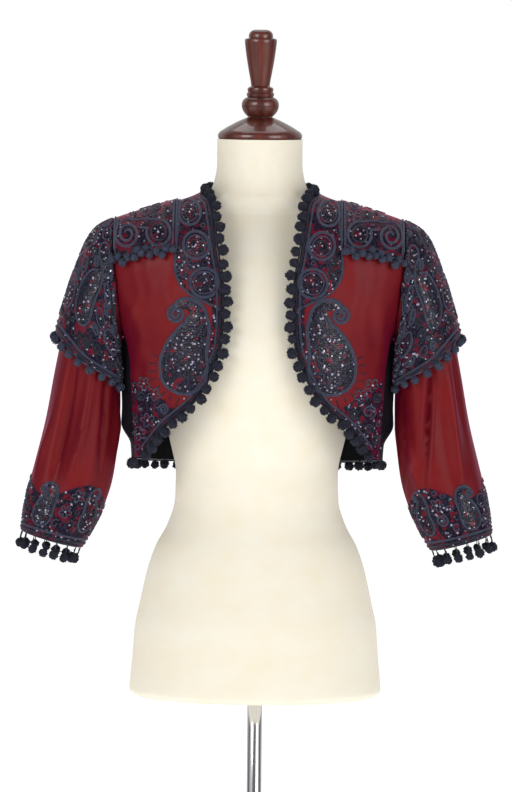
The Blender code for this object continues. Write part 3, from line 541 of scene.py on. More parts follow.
def back_cover(x, z, from_neck, from_hem):
    border = BACK_BORDER - min(from_hem, from_neck)
    across, down = x / BIB_X, (BIB_TOP_Z - z) / BIB_DEPTH
    bib = BIB_DEPTH * (bib_reach(math.atan2(across, down)) - math.hypot(across, down))
    return max(border, bib, scallop(x) - from_hem)


def panel_pair(x, girth, side, creases):
    """Inner and outer points of a body panel's shell, and how much it is embroidered."""
    point = body_point(x, girth, side)
    normal = body_normal(x, girth, side)
    height = CLOTH + raised(abs(x), girth, side) + crease_height(x, point.z, creases)
    if side < 0:
        cover = front_cover(x, point.z, x - front_edge(girth))
    else:
        cover = back_cover(x, point.z, neck_distance(x, girth), point.z - hem_z(point.y))
    return point + normal * max(height - SHELL, 0.0002), point + normal * height, cover


def grid(rows, columns, spot):
    """Rows of spot(t, u) over a panel; both shares run from 0 to 1."""
    return [[spot(i / rows, j / columns) for j in range(columns + 1)] for i in range(rows + 1)]


def front_rows(word):
    end = edge_end()

    def spot(t, u):
        x_out, girth_out = outer_boundary(t, -1)
        girth_in = end * (0.55 * t ** 1.25 + 0.225 * (1 - math.cos(math.pi * t)))
        x_in = front_edge(girth_in)
        girth = max(girth_in + (girth_out - girth_in) * u, SEAM / 2)
        return panel_pair(x_in + (x_out - x_in) * u, girth, -1, FRONT_CREASES[word])
    return grid(FRONT_ROWS, FRONT_COLUMNS, spot)


def back_rows():
    """From the left armhole over the neck to the right one, and down to the hem."""
    half = BACK_HALF_COLUMNS
    neck = half * 5 // 8
    x_end, girth_end = outer_boundary(1.0, 1)

    def top(j):
        if abs(j) <= neck:
            x = NECK_X * math.sin(math.pi / 2 * abs(j) / neck)
            return math.copysign(x, j), neck_girth(x)
        share = (abs(j) - neck) / (half - neck)
        return math.copysign(NECK_X + (ARM_X - NECK_X) * share, j), 0.0

    def spot(t, u):
        j = round(2 * half * u) - half
        x_out, girth_out = outer_boundary(t, 1)
        v = girth_out / girth_end
        top_x, top_girth = top(j)
        share = top_x / ARM_X + (j / half - top_x / ARM_X) * ease(v / 0.8)
        x_hem = j / half * x_end
        girth = top_girth + (girth_at(x_hem, back_hem(x_hem)) - top_girth) * v
        return panel_pair(share * x_out, max(girth, SEAM / 2), 1, BACK_CREASES)
    return grid(BACK_ROWS, 2 * half, spot)


def side_rows():
    """The underarm panel, from the front seam round to the back seam."""
    half = SIDE_COLUMNS // 2
    turns = [seam_turn() + (math.pi - seam_turn()) * k / half for k in range(half + 1)]
    tops = [body_point(*armhole(turn), -1) for turn in turns]
    tops += [body_point(*armhole(turn), 1) for turn in turns[-2::-1]]

    def spot(t, w):
        top = tops[round(w * SIDE_COLUMNS)]
        y_front = body_point(*seam_line(t, -1), -1).y + SEAM * 1.4
        y_back = body_point(*seam_line(t, 1), 1).y - SEAM * 1.4
        top_share = (top.y - tops[0].y) / (tops[-1].y - tops[0].y)
        y = y_front + (y_back - y_front) * (top_share + (w - top_share) * ease(t / 0.6))
        z = top.z + (hem_z(y) - top.z) * t
        side = -1 if y < 0 else 1
        width, depth = body_size(z, side)
        x = width * (1 - (abs(y) / depth) ** BODY_POWER) ** (1 / BODY_POWER)
        normal = body_normal(x, girth_at(x, z), side)
        ripple = 0.0009 * math.sin(52 * y + 9 * t) * ease(t / 0.25) * ease((1 - t) / 0.2)
        ripple *= ease(w / 0.2) * ease((1 - w) / 0.2)
        slack = (SLEEVE_SIDE_X - width - CLOTH) * ease((z - 1.022) / 0.028)
        slack *= ease((1.1585 - z) / 0.003) * ease(w / 0.30) * ease((1 - w) / 0.30)
        point = Vector((x + max(slack, 0.0), y, z)) + normal * ripple
        return point + normal * (CLOTH - SHELL), point + normal * CLOTH
    return grid(SIDE_ROWS, SIDE_COLUMNS, spot)


def armhole_outer(turn):
    """The armhole on the cloth's outer face; turn goes once round, the front first."""
    side = -1 if turn <= math.pi else 1
    x, girth = armhole(turn if side < 0 else 2 * math.pi - turn)
    normal = body_normal(x, girth, side)
    clear = SEAM + 0.0009 * max(normal.x, 0.0)
    return body_point(x, girth, side) + normal * CLOTH + Vector((clear, 0, 0))


def fold_height(s, turn, folds):
    total = 0.0
    for fold in folds:
        middle = fold.around + fold.lean * (s - fold.along)
        away = (math.degrees(turn) - middle + 180) % 360 - 180
        total += fold.height * math.exp(-((s - fold.along) / fold.length) ** 2
                                        - (away / fold.width) ** 2)
    return total * ease(s - 3.5) * ease((10 - s) / 1.2)


def sleeve_point(s, turn):
    """The right sleeve's outer face; s runs 0 to 10 from armhole to cuff."""
    x_out, z_out, x_in, z_in, depth, forward = [read(SLEEVE, "s", label, s)
                                                for label in Station._fields[1:]]
    outer, inner = Vector((x_out, 0, z_out)), Vector((x_in, 0, z_in))
    ring = (outer + inner) / 2 + (outer - inner) / 2 * math.cos(turn)
    ring.y = -depth * math.sin(turn) - forward
    if s < BLEND_END:
        blend = 1 - (1 - s / BLEND_END) ** 2
        ring = armhole_outer(turn % (2 * math.pi)).lerp(ring, blend)
    return ring


def sleeve_normal(s, turn):
    """The sleeve's outward direction; its first ring stays in the armhole's own plane."""
    if s < 0.01:
        spot = armhole_outer(turn % (2 * math.pi))
        return Vector((0, spot.y, spot.z - ARMHOLE_MIDDLE_Z)).normalized()
    step = 0.02
    low = max(s - step, 0.0)
    along = sleeve_point(low + 2 * step if s < step else min(s + step, 10), turn)
    along -= sleeve_point(low, turn)
    around = sleeve_point(s, turn + step) - sleeve_point(s, turn - step)
    return around.cross(along).normalized()


def sleeve_surface(s, turn, word):
    normal = sleeve_normal(s, turn)
    height = fold_height(s, turn, SOLID_FOLDS)
    crease = fold_height(s, turn, SLEEVE_CREASES[word])
    crease *= 2.5 * ease((9.0 - s) / 1.4) * bpy.context.scene.jacket.crease_depth
    return sleeve_point(s, turn) + normal * (height + crease), normal


def cuff_top(around):
    """Height of the cuff's embroidery above its hem, in scallops."""
    return 0.060 + 0.010 * math.cos(around * 2 * math.pi / 0.098)


def sleeve_rings(word):
    rings = []
    for i in range(SLEEVE_RINGS + 1):
        s = 10 * (i / SLEEVE_RINGS) ** 1.15
        ring = []
        for j in range(SLEEVE_AROUND):
            turn = 2 * math.pi * j / SLEEVE_AROUND
            point, normal = sleeve_surface(s, turn, word)
            around = (turn if turn < math.pi else turn - 2 * math.pi) * CUFF_RADIUS
            ring.append((point - normal * SHELL, point, cuff_top(around) - (10 - s) * CUFF_STEP))
        rings.append(ring)
    return rings


def over_frame(t, turn):
    """Inner face of the oversleeve from the armhole (0) to its hem (1)."""
    share = ease((abs(turn) - math.radians(70)) / math.radians(78))
    start = 0.12 + 1.9 * share
    end = OVER_HEM_S - 0.75 * share
    s = start + (end - start) * t
    normal = sleeve_normal(s, turn)
    gap = 0.0018 + OVER_STAND_OFF * ease(t / 0.8)
    return sleeve_point(s, turn) + normal * gap, normal


def over_rows():
    def spot(t, u):
        point, normal = over_frame(t, OVER_REACH * (2 * u - 1))
        return point + normal * (OVER_THICK - SHELL), point + normal * OVER_THICK, 1.0
    return grid(OVER_ROWS, OVER_COLUMNS, spot)


Lobe = namedtuple("Lobe", "x z")
LOBES = [Lobe(0.1250, 1.2960), Lobe(0.1670, 1.2880)]


def yoke_reach(x):
    """Girth of the yoke's lower edge at x."""
    along = x - LOBES[0].x
    wave = LOBE_DEPTH * math.cos(2 * math.pi * along / LOBE_PITCH)
    return girth_at(x, YOKE_EDGE_Z - YOKE_EDGE_SLOPE * along - wave)


def yoke_frame(x, girth):
    """Inner face of the yoke; the girth is negative on the front."""
    side = -1 if girth < 0 else 1
    normal = body_normal(x, abs(girth), side)
    return body_point(x, abs(girth), side) + normal * (CLOTH + LAYER_GAP), normal


def yoke_outer(x, girth):
    point, normal = yoke_frame(x, girth)
    bump = sum(0.0016 * ease(1.4 - math.hypot(x - lobe.x, point.z - lobe.z) / 0.018)
               for lobe in LOBES)
    return point + normal * (CLOTH + bump), normal


def yoke_rows():
    def spot(t, u):
        x = YOKE_NECK_X + (YOKE_ARM_X - YOKE_NECK_X) * u
        along = 2 * t - 1
        reach = yoke_reach(x) * math.copysign(abs(along) ** 1.25, along)
        point, normal = yoke_outer(x, reach)
        return point - normal * SHELL, point, 1.0
    return grid(YOKE_ROWS, YOKE_COLUMNS, spot)


Spot = namedtuple("Spot", "point normal outward")


def even_spots(curve, count, closed=False):
    """Spots at equal distances along a curve t -> (point, normal, outward)."""
    steps = 240
    samples = [curve(k / steps) for k in range(steps + 1)]
    travel = [0.0]
    for a, b in zip(samples, samples[1:]):
        travel.append(travel[-1] + (b[0] - a[0]).length)
    spots = []
    for i in range(count if closed else count + 1):
        goal = travel[-1] * i / count
        k = min(bisect.bisect_right(travel, goal + 1e-9) - 1, steps - 1)
        part = (goal - travel[k]) / (travel[k + 1] - travel[k])
        spots.append(Spot(*curve((k + part) / steps)))
    return spots


def edge_frame(place, t, away, step=1e-3):
    """Spot on an edge t -> (middle point, normal); away points off the cloth."""
    low, high = max(t - step, 0.0), min(t + step, 1.0)
    point, normal = place(t)
    run = (place(high)[0] - place(low)[0]).normalized()
    outward = run.cross(normal).normalized()
    return point, normal, outward if outward.dot(away) > 0 else -outward


def body_edge(x, girth, side):
    normal = body_normal(x, girth, side)
    return body_point(x, girth, side) + normal * CLOTH / 2, normal


def front_edge_curve(t):
    def place(w):
        girth = max(edge_end() * w, 0.004)
        return body_edge(front_edge(girth), girth, -1)
    return edge_frame(place, 0.012 + 0.988 * t, Vector((-1, 0, -0.6)))


def neck_edge_curve(t):
    def place(w):
        x = NECK_X * math.sin(math.radians(NECK_ARC[0] + NECK_ARC[1] * w))
        return body_edge(x, neck_girth(x), 1)
    return edge_frame(place, t, Vector((0, -1, 1)))


def hem_point(angle):
    """Inner face at the hem; the angle is 0 at the right side and 90 at the back."""
    cosine, sine = math.cos(angle), math.sin(angle)
    width, depth = body_size(1.0, sine)
    x = math.copysign(width * abs(cosine) ** (2 / BODY_POWER), cosine)
    y = math.copysign(depth * abs(sine) ** (2 / BODY_POWER), sine)
    return Vector((x, y, hem_z(y)))


def hem_edge_curve(t):
    def place(w):
        angle = math.radians(HEM_ARC[0] + HEM_ARC[1] * w)
        run = hem_point(angle + 0.01) - hem_point(angle - 0.01)
        normal = Vector((run.y, -run.x, 0)).normalized()
        return hem_point(angle) + normal * CLOTH / 2, normal
    return edge_frame(place, t, Vector((0, 0, -1)))


def yoke_edge_curve(side):
    def curve(t):
        def place(w):
            x = YOKE_NECK_X + 0.001 + (YOKE_ARM_X - YOKE_NECK_X - 0.002) * w
            point, normal = yoke_frame(x, side * yoke_reach(x))
            return point + normal * CLOTH / 2, normal
        return edge_frame(place, t, Vector((0, 0, -1)), 0.03)
    return curve


def over_hem_curve(t):
    turn = OVER_REACH * (2 * t - 1)
    point, normal = over_frame(1.0, turn)
    outward = (point - over_frame(0.96, turn)[0]).normalized()
    return point + normal * CLOTH / 2, normal, outward


def cuff_curve(t):
    turn = 2 * math.pi * t
    point, normal = sleeve_surface(10.0, turn, "right")
    outward = (point - sleeve_point(9.9, turn)).normalized()
    hang = (outward + Vector((0, 0, -1.2))).normalized()
    hang = (hang - normal * hang.dot(normal)).normalized()
    return point - normal * CLOTH / 2, normal, hang


# Node groups and materials

def put(tree, socket, value):
    """Link an output to a socket, or set the socket to a number or colour."""
    if isinstance(value, bpy.types.NodeSocket):
        tree.links.new(value, socket)
    elif socket.type == "RGBA":
        socket.default_value = (*value[:3], 1.0)
    else:
        socket.default_value = value


def put_all(tree, node, values):
    for label, value in values.items():
        put(tree, node.inputs[label], value)
    return node


def add_node(tree, kind, values=None, **settings):
    node = tree.nodes.new("ShaderNode" + kind)
    for label, value in settings.items():
        setattr(node, label, value)
    return put_all(tree, node, values or {})


def math_node(tree, operation, *values):
    node = add_node(tree, "Math", operation=operation)
    for socket, value in zip(node.inputs, values):
        put(tree, socket, value)
    return node.outputs[0]


def mix(tree, factor, first, second, kind="RGBA"):
    """A mix of two colours, or of two numbers where the kind is FLOAT."""
    node = add_node(tree, "Mix", data_type=kind)
    one, two, out = (6, 7, 2) if kind == "RGBA" else (2, 3, 0)
    for index, value in ((0, factor), (one, first), (two, second)):
        put(tree, node.inputs[index], value)
    return node.outputs[out]


def spread(tree, value, low, high, start=0.3, end=0.7):
    """A value between start and end moved to the range from low to high."""
    return add_node(tree, "MapRange", {"Value": value, "From Min": start, "From Max": end,
                                       "To Min": low, "To Max": high}).outputs[0]


def new_group(name, numbers, outputs):
    """A shader node group that takes a vector and numbers; also its two end nodes' sockets."""
    group = bpy.data.node_groups.new(name, "ShaderNodeTree")
    group.interface.new_socket("Vector", in_out="INPUT", socket_type="NodeSocketVector")
    for label, default in numbers.items():
        socket = group.interface.new_socket(label, in_out="INPUT", socket_type="NodeSocketFloat")
        socket.default_value = default
    for label in outputs:
        kind = "NodeSocketColor" if label == "Colour" else "NodeSocketFloat"
        group.interface.new_socket(label, in_out="OUTPUT", socket_type=kind)
    return group, group.nodes.new("NodeGroupInput").outputs, group.nodes.new("NodeGroupOutput")


def weave_group():
    """Plain weave with slubs: height, and a mask of the second thread's colour."""
    group, start, end = new_group("Plain weave", {"Threads per metre": 1400.0, "Slub": 0.5},
                                  ["Height", "Second thread", "Drift"])
    threads = add_node(group, "VectorMath", {"Vector": start["Vector"],
                                             "Scale": start["Threads per metre"]}, operation="SCALE")
    split = add_node(group, "SeparateXYZ", {"Vector": threads.outputs[0]})
    warp, weft = [math_node(group, "SINE", math_node(group, "MULTIPLY", way, math.pi))
                  for way in split.outputs[:2]]
    product = math_node(group, "MULTIPLY", warp, weft)
    stretch = add_node(group, "Mapping", {"Vector": start["Vector"], "Scale": (900.0, 22.0, 1.0)})
    slub = add_node(group, "TexNoise", {"Vector": stretch.outputs[0], "Scale": 1.0, "Detail": 2.0})
    thick = math_node(group, "MULTIPLY", slub.outputs["Fac"], start["Slub"])
    drift = add_node(group, "TexNoise", {"Vector": start["Vector"], "Scale": 26.0, "Detail": 3.0,
                                         "Roughness": 0.6})
    put_all(group, end, {
        "Height": math_node(group, "ADD", math_node(group, "MULTIPLY", product, 0.25), thick),
        "Second thread": math_node(group, "MULTIPLY_ADD", product, 0.5, 0.5),
        "Drift": drift.outputs["Fac"]})
    return group


def seed_group():
    """Seed beads sewn close together: height, colour with painted glints and painted shade between
    beads, gloss, and larger bare patches.
    """
    group, start, end = new_group("Seed beads", {}, ["Height", "Colour", "Gloss", "Patches"])
    beads = add_node(group, "TexVoronoi", {"Vector": start["Vector"], "Scale": 340.0,
                                           "Randomness": 0.8}).outputs
    split = add_node(group, "SeparateColor", {"Color": beads["Color"]}).outputs
    shade = mix(group, split[0], (0.0045, 0.0040, 0.0120), (0.029, 0.025, 0.062))
    # A few beads turn pale grey: painted glints.
    bright = math_node(group, "GREATER_THAN", split[1], 0.935)
    shade = mix(group, bright, shade, (0.36, 0.34, 0.44))
    # Darker towards each bead's rim and in the gaps between beads: painted shade.
    painted_gap_shade = spread(group, beads["Distance"], 0.0, 1.0)
    patches = add_node(group, "TexNoise", {"Vector": start["Vector"], "Scale": 105.0, "Detail": 2.0})
    put_all(group, end, {
        "Height": math_node(group, "SUBTRACT", 1.0, beads["Distance"]),
        "Colour": mix(group, painted_gap_shade, shade, (0.006, 0.005, 0.010)),
        "Gloss": split[2], "Patches": patches.outputs["Fac"]})
    return group


def nap_group():
    """Short fibres in two sizes: height and a colour mask."""
    group, start, end = new_group("Wool nap", {"Scale": 900.0}, ["Height", "Fibre"])
    fine = add_node(group, "TexNoise", {"Vector": start["Vector"], "Scale": start["Scale"],
                                        "Detail": 4.0, "Roughness": 0.7}).outputs["Fac"]
    clump = add_node(group, "TexVoronoi", {
        "Vector": start["Vector"], "Scale": math_node(group, "MULTIPLY", start["Scale"], 0.8)})
    height = math_node(group, "SUBTRACT", fine, clump.outputs["Distance"])
    put_all(group, end, {"Height": height, "Fibre": fine})
    return group


def plait_group():
    """Two plaited ribs running along a braid's own UV: height and a mask of the groove, which braids
    use for painted shade.
    """
    group, start, end = new_group("Plaited braid", {"Plaits per metre": 520.0}, ["Height", "Groove"])
    split = add_node(group, "SeparateXYZ", {"Vector": start["Vector"]}).outputs
    along = math_node(group, "MULTIPLY", split[0], start["Plaits per metre"])
    across = math_node(group, "PINGPONG", math_node(group, "MULTIPLY", split[1], 2.0), 1.0)
    slant = math_node(group, "ADD", math_node(group, "MULTIPLY", along, 6.283),
                      math_node(group, "MULTIPLY", across, 3.0))
    rib = math_node(group, "ABSOLUTE", math_node(group, "SINE", slant))
    put_all(group, end, {"Height": rib, "Groove": math_node(group, "SUBTRACT", 1.0, rib)})
    return group


def grain_group():
    """Long wood grain with pores along the height of a turned piece."""
    group, start, end = new_group("Wood grain", {"Scale": 60.0}, ["Grain", "Pores"])
    long_way = add_node(group, "Mapping", {"Vector": start["Vector"],
                                           "Scale": (1.0, 1.0, 0.12)}).outputs[0]
    grain = add_node(group, "TexNoise", {"Vector": long_way, "Scale": start["Scale"], "Detail": 6.0,
                                         "Roughness": 0.62, "Distortion": 0.8})
    pores = add_node(group, "TexNoise", {
        "Vector": long_way, "Scale": math_node(group, "MULTIPLY", start["Scale"], 14.0),
        "Detail": 2.0})
    put_all(group, end, {"Grain": grain.outputs["Fac"], "Pores": pores.outputs["Fac"]})
    return group


GROUPS = {"Plain weave": weave_group, "Seed beads": seed_group, "Wool nap": nap_group,
          "Plaited braid": plait_group, "Wood grain": grain_group}


def use_group(tree, name, vector, values=None):
    """Place a shared group, which is made the first time, and give its outputs."""
    node = add_node(tree, "Group", node_tree=bpy.data.node_groups.get(name) or GROUPS[name]())
    return put_all(tree, node, {"Vector": vector, **(values or {})}).outputs


def new_material(name):
    material = bpy.data.materials.new(name)
    material.use_nodes = True
    tree = material.node_tree
    return material, tree, tree.nodes.new("ShaderNodeTexCoord").outputs


def finish(material, values, height=None, strength=0.0, distance=0.0):
    """Fill the material's shader, and bump its normal by a height."""
    tree = material.node_tree
    shader = put_all(tree, tree.nodes["Principled BSDF"], values)
    if height is not None:
        bump = add_node(tree, "Bump", {"Strength": strength, "Distance": distance,
                                       "Height": height})
        put(tree, shader.inputs["Normal"], bump.outputs[0])
    return material


def silk_material(name, look, colour, strength, sewn_on):
    """Woven silk: two threads' colours, slubs along the weft and a sheen of the second colour."""
    material, tree, place = new_material(name)
    weave = use_group(tree, "Plain weave", place["UV"], {"Threads per metre": 1300.0, "Slub": 0.8})
    base = mix(tree, spread(tree, weave["Drift"], 0.10, 0.45), colour, look.second)
    thread = math_node(tree, "MULTIPLY", weave["Second thread"], 0.25)
    base = mix(tree, thread, base, look.second)
    # Towards grazing view the silk turns to the deep colour: partly the shot silk's real change of hue,
    # partly painted shade that darkens the flanks of the folds.
    turned = add_node(tree, "LayerWeight", {"Blend": 0.42})
    base = mix(tree, turned.outputs["Facing"], base, look.deep)
    beads = use_group(tree, "Seed beads", place["Object"])
    covered = add_node(tree, "Attribute", attribute_name="embroidered")
    bare = math_node(tree, "GREATER_THAN", beads["Patches"], 0.55)
    edge = math_node(tree, "MULTIPLY_ADD", beads["Patches"], 0.30, covered.outputs["Fac"])
    base = mix(tree, math_node(tree, "GREATER_THAN", edge, 0.58), base, look.worn)
    cover = math_node(tree, "MULTIPLY", math_node(tree, "GREATER_THAN", edge, 0.64),
                      math_node(tree, "SUBTRACT", sewn_on, bare))
    cover = math_node(tree, "MAXIMUM", cover, 0.0)
    rough = spread(tree, weave["Drift"], look.roughness - 0.05, look.roughness + 0.08)
    rough = mix(tree, cover, rough, spread(tree, beads["Gloss"], 0.20, 0.55), "FLOAT")
    sewn = math_node(tree, "MULTIPLY", math_node(tree, "MULTIPLY", cover, beads["Height"]), 3.0)
    return finish(material, {
        "Base Color": mix(tree, cover, base, beads["Colour"]), "Roughness": rough,
        "Specular IOR Level": 0.14, "Sheen Weight": strength, "Sheen Roughness": 0.35,
        "Sheen Tint": look.sheen}, math_node(tree, "ADD", sewn, weave["Height"]), 0.3, 0.0003)


def braid_material(name, colour, pale):
    """Plaited soutache, with a painted highlight on its ribs and painted shade in its grooves."""
    material, tree, place = new_material(name)
    plait = use_group(tree, "Plaited braid", place["UV"], {"Plaits per metre": 420.0})
    # Ribs take the paler colour and grooves the darker one: painted highlight and painted shade.
    shade = mix(tree, plait["Groove"], pale, colour)
    nap = use_group(tree, "Wool nap", place["Object"], {"Scale": 260.0})
    return finish(material, {
        "Base Color": mix(tree, spread(tree, nap["Fibre"], 0.0, 0.7), shade, colour),
        "Roughness": spread(tree, nap["Fibre"], 0.42, 0.62),
        "Sheen Weight": 0.25, "Sheen Tint": (0.45, 0.50, 0.75)}, plait["Height"], 0.8, 0.0005)


def wool_material(name, colour):
    """Cut wool of the pompoms, with paler fibre tips."""
    material, tree, place = new_material(name)
    nap = use_group(tree, "Wool nap", place["Object"], {"Scale": 1100.0})
    pale = tuple(min(channel * 3.2 + 0.006, 1.0) for channel in colour)
    return finish(material, {
        "Base Color": mix(tree, spread(tree, nap["Fibre"], 0.0, 0.8), colour, pale),
        "Roughness": spread(tree, nap["Fibre"], 0.75, 0.95), "Specular IOR Level": 0.25,
        "Sheen Weight": 0.12, "Sheen Tint": (0.40, 0.44, 0.60)}, nap["Height"], 0.9, 0.0006)


def bead_material(name, colour, metallic):
    """Cut glass beads, each a little different in shade and gloss."""
    material, tree, place = new_material(name)
    cell = add_node(tree, "TexVoronoi", {"Vector": place["Object"], "Scale": 380.0})
    split = add_node(tree, "SeparateColor", {"Color": cell.outputs["Color"]}).outputs
    pale = tuple(min(channel * 2.2 + 0.01, 1.0) for channel in colour)
    return finish(material, {
        "Base Color": mix(tree, split[0], colour, pale),
        "Roughness": spread(tree, split[1], 0.05, 0.20), "Metallic": metallic,
        "Coat Weight": 0.35, "Coat Roughness": 0.05})


def ground_material():
    """Silk closely sewn with seed beads, bare in a few small places."""
    material, tree, place = new_material("beaded_ground")
    beads = use_group(tree, "Seed beads", place["Object"])
    bare = math_node(tree, "GREATER_THAN", beads["Patches"], 0.62)
    return finish(material, {
        "Base Color": mix(tree, bare, beads["Colour"], WINE.worn),
        "Roughness": spread(tree, beads["Gloss"], 0.15, 0.50), "Specular IOR Level": 0.3},
        beads["Height"], 0.6, 0.0006)


def linen_material(colour):
    """The form's cover: a close weave, rubbed a little warmer in places."""
    material, tree, place = new_material("linen_cover")
    weave = use_group(tree, "Plain weave", place["UV"], {"Threads per metre": 900.0, "Slub": 0.25})
    warm = (colour[0] * 0.97, colour[1] * 0.92, colour[2] * 0.80)
    return finish(material, {
        "Base Color": mix(tree, spread(tree, weave["Drift"], 0.0, 0.6), colour, warm),
        "Roughness": spread(tree, weave["Drift"], 0.72, 0.85), "Specular IOR Level": 0.2,
        "Sheen Weight": 0.15}, weave["Height"], 0.25, 0.0002)


def mahogany_material():
    """French-polished mahogany with long grain under a clear coat."""
    material, tree, place = new_material("mahogany")
    grain = use_group(tree, "Wood grain", place["Object"], {"Scale": 70.0})
    return finish(material, {
        "Base Color": mix(tree, spread(tree, grain["Grain"], 0.0, 1.0),
                          (0.050, 0.009, 0.006), (0.150, 0.026, 0.014)),
        "Roughness": spread(tree, grain["Pores"], 0.28, 0.42),
        "Coat Weight": 0.7, "Coat Roughness": 0.06}, grain["Pores"], 0.12, 0.0002)


def chrome_material():
    """Polished chrome with a faint lengthwise draw and a few dull specks."""
    material, tree, place = new_material("chrome")
    stretch = add_node(tree, "Mapping", {"Vector": place["Object"], "Scale": (1.0, 1.0, 0.02)})
    draw = add_node(tree, "TexNoise", {"Vector": stretch.outputs[0], "Scale": 420.0,
                                       "Detail": 3.0}).outputs["Fac"]
    return finish(material, {
        "Base Color": mix(tree, draw, (0.60, 0.60, 0.62), (0.80, 0.80, 0.82)),
        "Roughness": spread(tree, draw, 0.06, 0.16), "Metallic": 1.0}, draw, 0.05, 0.0001)


# The room's upright bands: place round the object, from 0 to 1, and grey level
BANDS = ((0.34, 0.95), (0.42, 0.18), (0.52, 0.20), (0.60, 1.0), (0.80, 1.0), (0.88, 0.25))


def upright_bands(tree, split):
    """White with darker bands by the direction round the object, from a split vector."""
    angle = math_node(tree, "ARCTAN2", split[0], split[1])
    share = math_node(tree, "ABSOLUTE", math_node(tree, "DIVIDE", angle, math.pi))
    ramp = add_node(tree, "ValToRGB", {"Fac": share})
    ramp.color_ramp.interpolation = "EASE"
    stops = ramp.color_ramp.elements
    stops[0].position, stops[0].color = 0.0, (1, 1, 1, 1)
    stops[1].position, stops[1].color = 1.0, (0.35, 0.35, 0.36, 1)
    for position, level in BANDS:
        stops.new(position).color = (level, level, level, 1)
    return ramp.outputs[0]


def floor_material():
    """White to the camera; in the chrome it shows the room's darker bands."""
    material, tree, place = new_material("pale_floor")
    cloud = add_node(tree, "TexNoise", {"Vector": place["Object"], "Scale": 0.6, "Detail": 2.0})
    shade = mix(tree, cloud.outputs["Fac"], (0.93, 0.93, 0.93), (0.96, 0.96, 0.95))
    split = add_node(tree, "SeparateXYZ", {"Vector": place["Object"]}).outputs
    mirrored = tree.nodes.new("ShaderNodeLightPath").outputs["Is Glossy Ray"]
    glow = math_node(tree, "MULTIPLY", math_node(tree, "SUBTRACT", 1.0, mirrored), FLOOR_GLOW)
    return finish(material, {
        "Base Color": mix(tree, mirrored, shade, upright_bands(tree, split)), "Roughness": 0.9,
        "Emission Color": (1.0, 1.0, 1.0), "Emission Strength": glow})


FINISHES = {}


def finish_named(name):
    """Each finish is made once, from the settings."""
    settings = bpy.context.scene.jacket
    navy, slate = tuple(settings.navy_wool), tuple(settings.slate_wool)

    def times(colour, share):
        return tuple(share * channel for channel in colour)
    makers = {
        "silk": lambda: silk_material("shot_silk", WINE, tuple(settings.silk_colour), 0.75, 1.0),
        "lining": lambda: silk_material("black_lining", LINING, LINING.colour, 0.15, 0.0),
        # Each braid's darker and paler colours are painted shade in its grooves and a painted highlight
        # on its ribs.
        "navy_braid": lambda: braid_material("navy_braid", navy, times(navy, 2.6)),
        "slate_braid": lambda: braid_material("slate_braid", times(slate, 0.60), times(slate, 1.45)),
        "navy_wool": lambda: wool_material("navy_wool", navy),
        "slate_wool": lambda: wool_material("slate_wool", times(slate, 0.45)),
        "jet": lambda: bead_material("jet_beads", (0.007, 0.006, 0.016), 0.0),
        "crystal": lambda: bead_material("crystal_beads", (0.30, 0.32, 0.37), 0.5),
        "ground": ground_material,
        "linen": lambda: linen_material(tuple(settings.linen_colour)),
        "mahogany": mahogany_material,
        "chrome": chrome_material,
        "floor": floor_material}
    if name not in FINISHES:
        FINISHES[name] = makers[name]()
    return FINISHES[name]


# Mesh making

class Shape:
    """Points, faces, their UV corners and their finishes, gathered before a mesh is made."""

    def __init__(self, sign=1):
        self.sign = sign
        self.points, self.faces, self.corners, self.looks = [], [], [], []
        self.cover = []

    def point(self, spot):
        self.points.append((spot[0] * self.sign, spot[1], spot[2]))
        return len(self.points) - 1

    def face(self, indexes, corners=None, look=0):
        self.faces.append(indexes)
        self.corners.append(corners or [(0.0, 0.0)] * len(indexes))
        self.looks.append(look)

    def make(self, name, finishes):
        mesh = bpy.data.meshes.new(name)
        mesh.from_pydata(self.points, [], self.faces)
        layer = mesh.uv_layers.new(name="UVMap")
        layer.data.foreach_set("uv", [value for face in self.corners for pair in face
                                      for value in pair])
        mesh.polygons.foreach_set("material_index", self.looks)
        if self.cover:
            covered = mesh.attributes.new("embroidered", "FLOAT", "POINT")
            covered.data.foreach_set("value", self.cover)
        for finish in finishes:
            mesh.materials.append(finish_named(finish))
        shape = bmesh.new()
        shape.from_mesh(mesh)
        bmesh.ops.recalc_face_normals(shape, faces=shape.faces)
        shape.to_mesh(mesh)
        shape.free()
        mesh.shade_smooth()
        mesh.set_sharp_from_angle(angle=math.radians(55))
        piece = bpy.data.objects.new(name, mesh)
        bpy.context.scene.collection.objects.link(piece)
        return piece


def hand_over(piece, node=None):
    """Put the piece on the one body and let it stand for its node."""
    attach(piece, "root")
    if node:
        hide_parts(node)


def lengths(points):
    total = [0.0]
    for a, b in zip(points, points[1:]):
        total.append(total[-1] + (b - a).length)
    return total


def quad(rows, i, j):
    """The face's four corners from row i, column j; the last column is followed by the first."""
    k = (j + 1) % len(rows[i])
    return rows[i][j], rows[i][k], rows[i + 1][k], rows[i + 1][j]


def quad_corners(over, along, i, j):
    return [(over[j], along[i]), (over[j + 1], along[i]),
            (over[j + 1], along[i + 1]), (over[j], along[i + 1])]


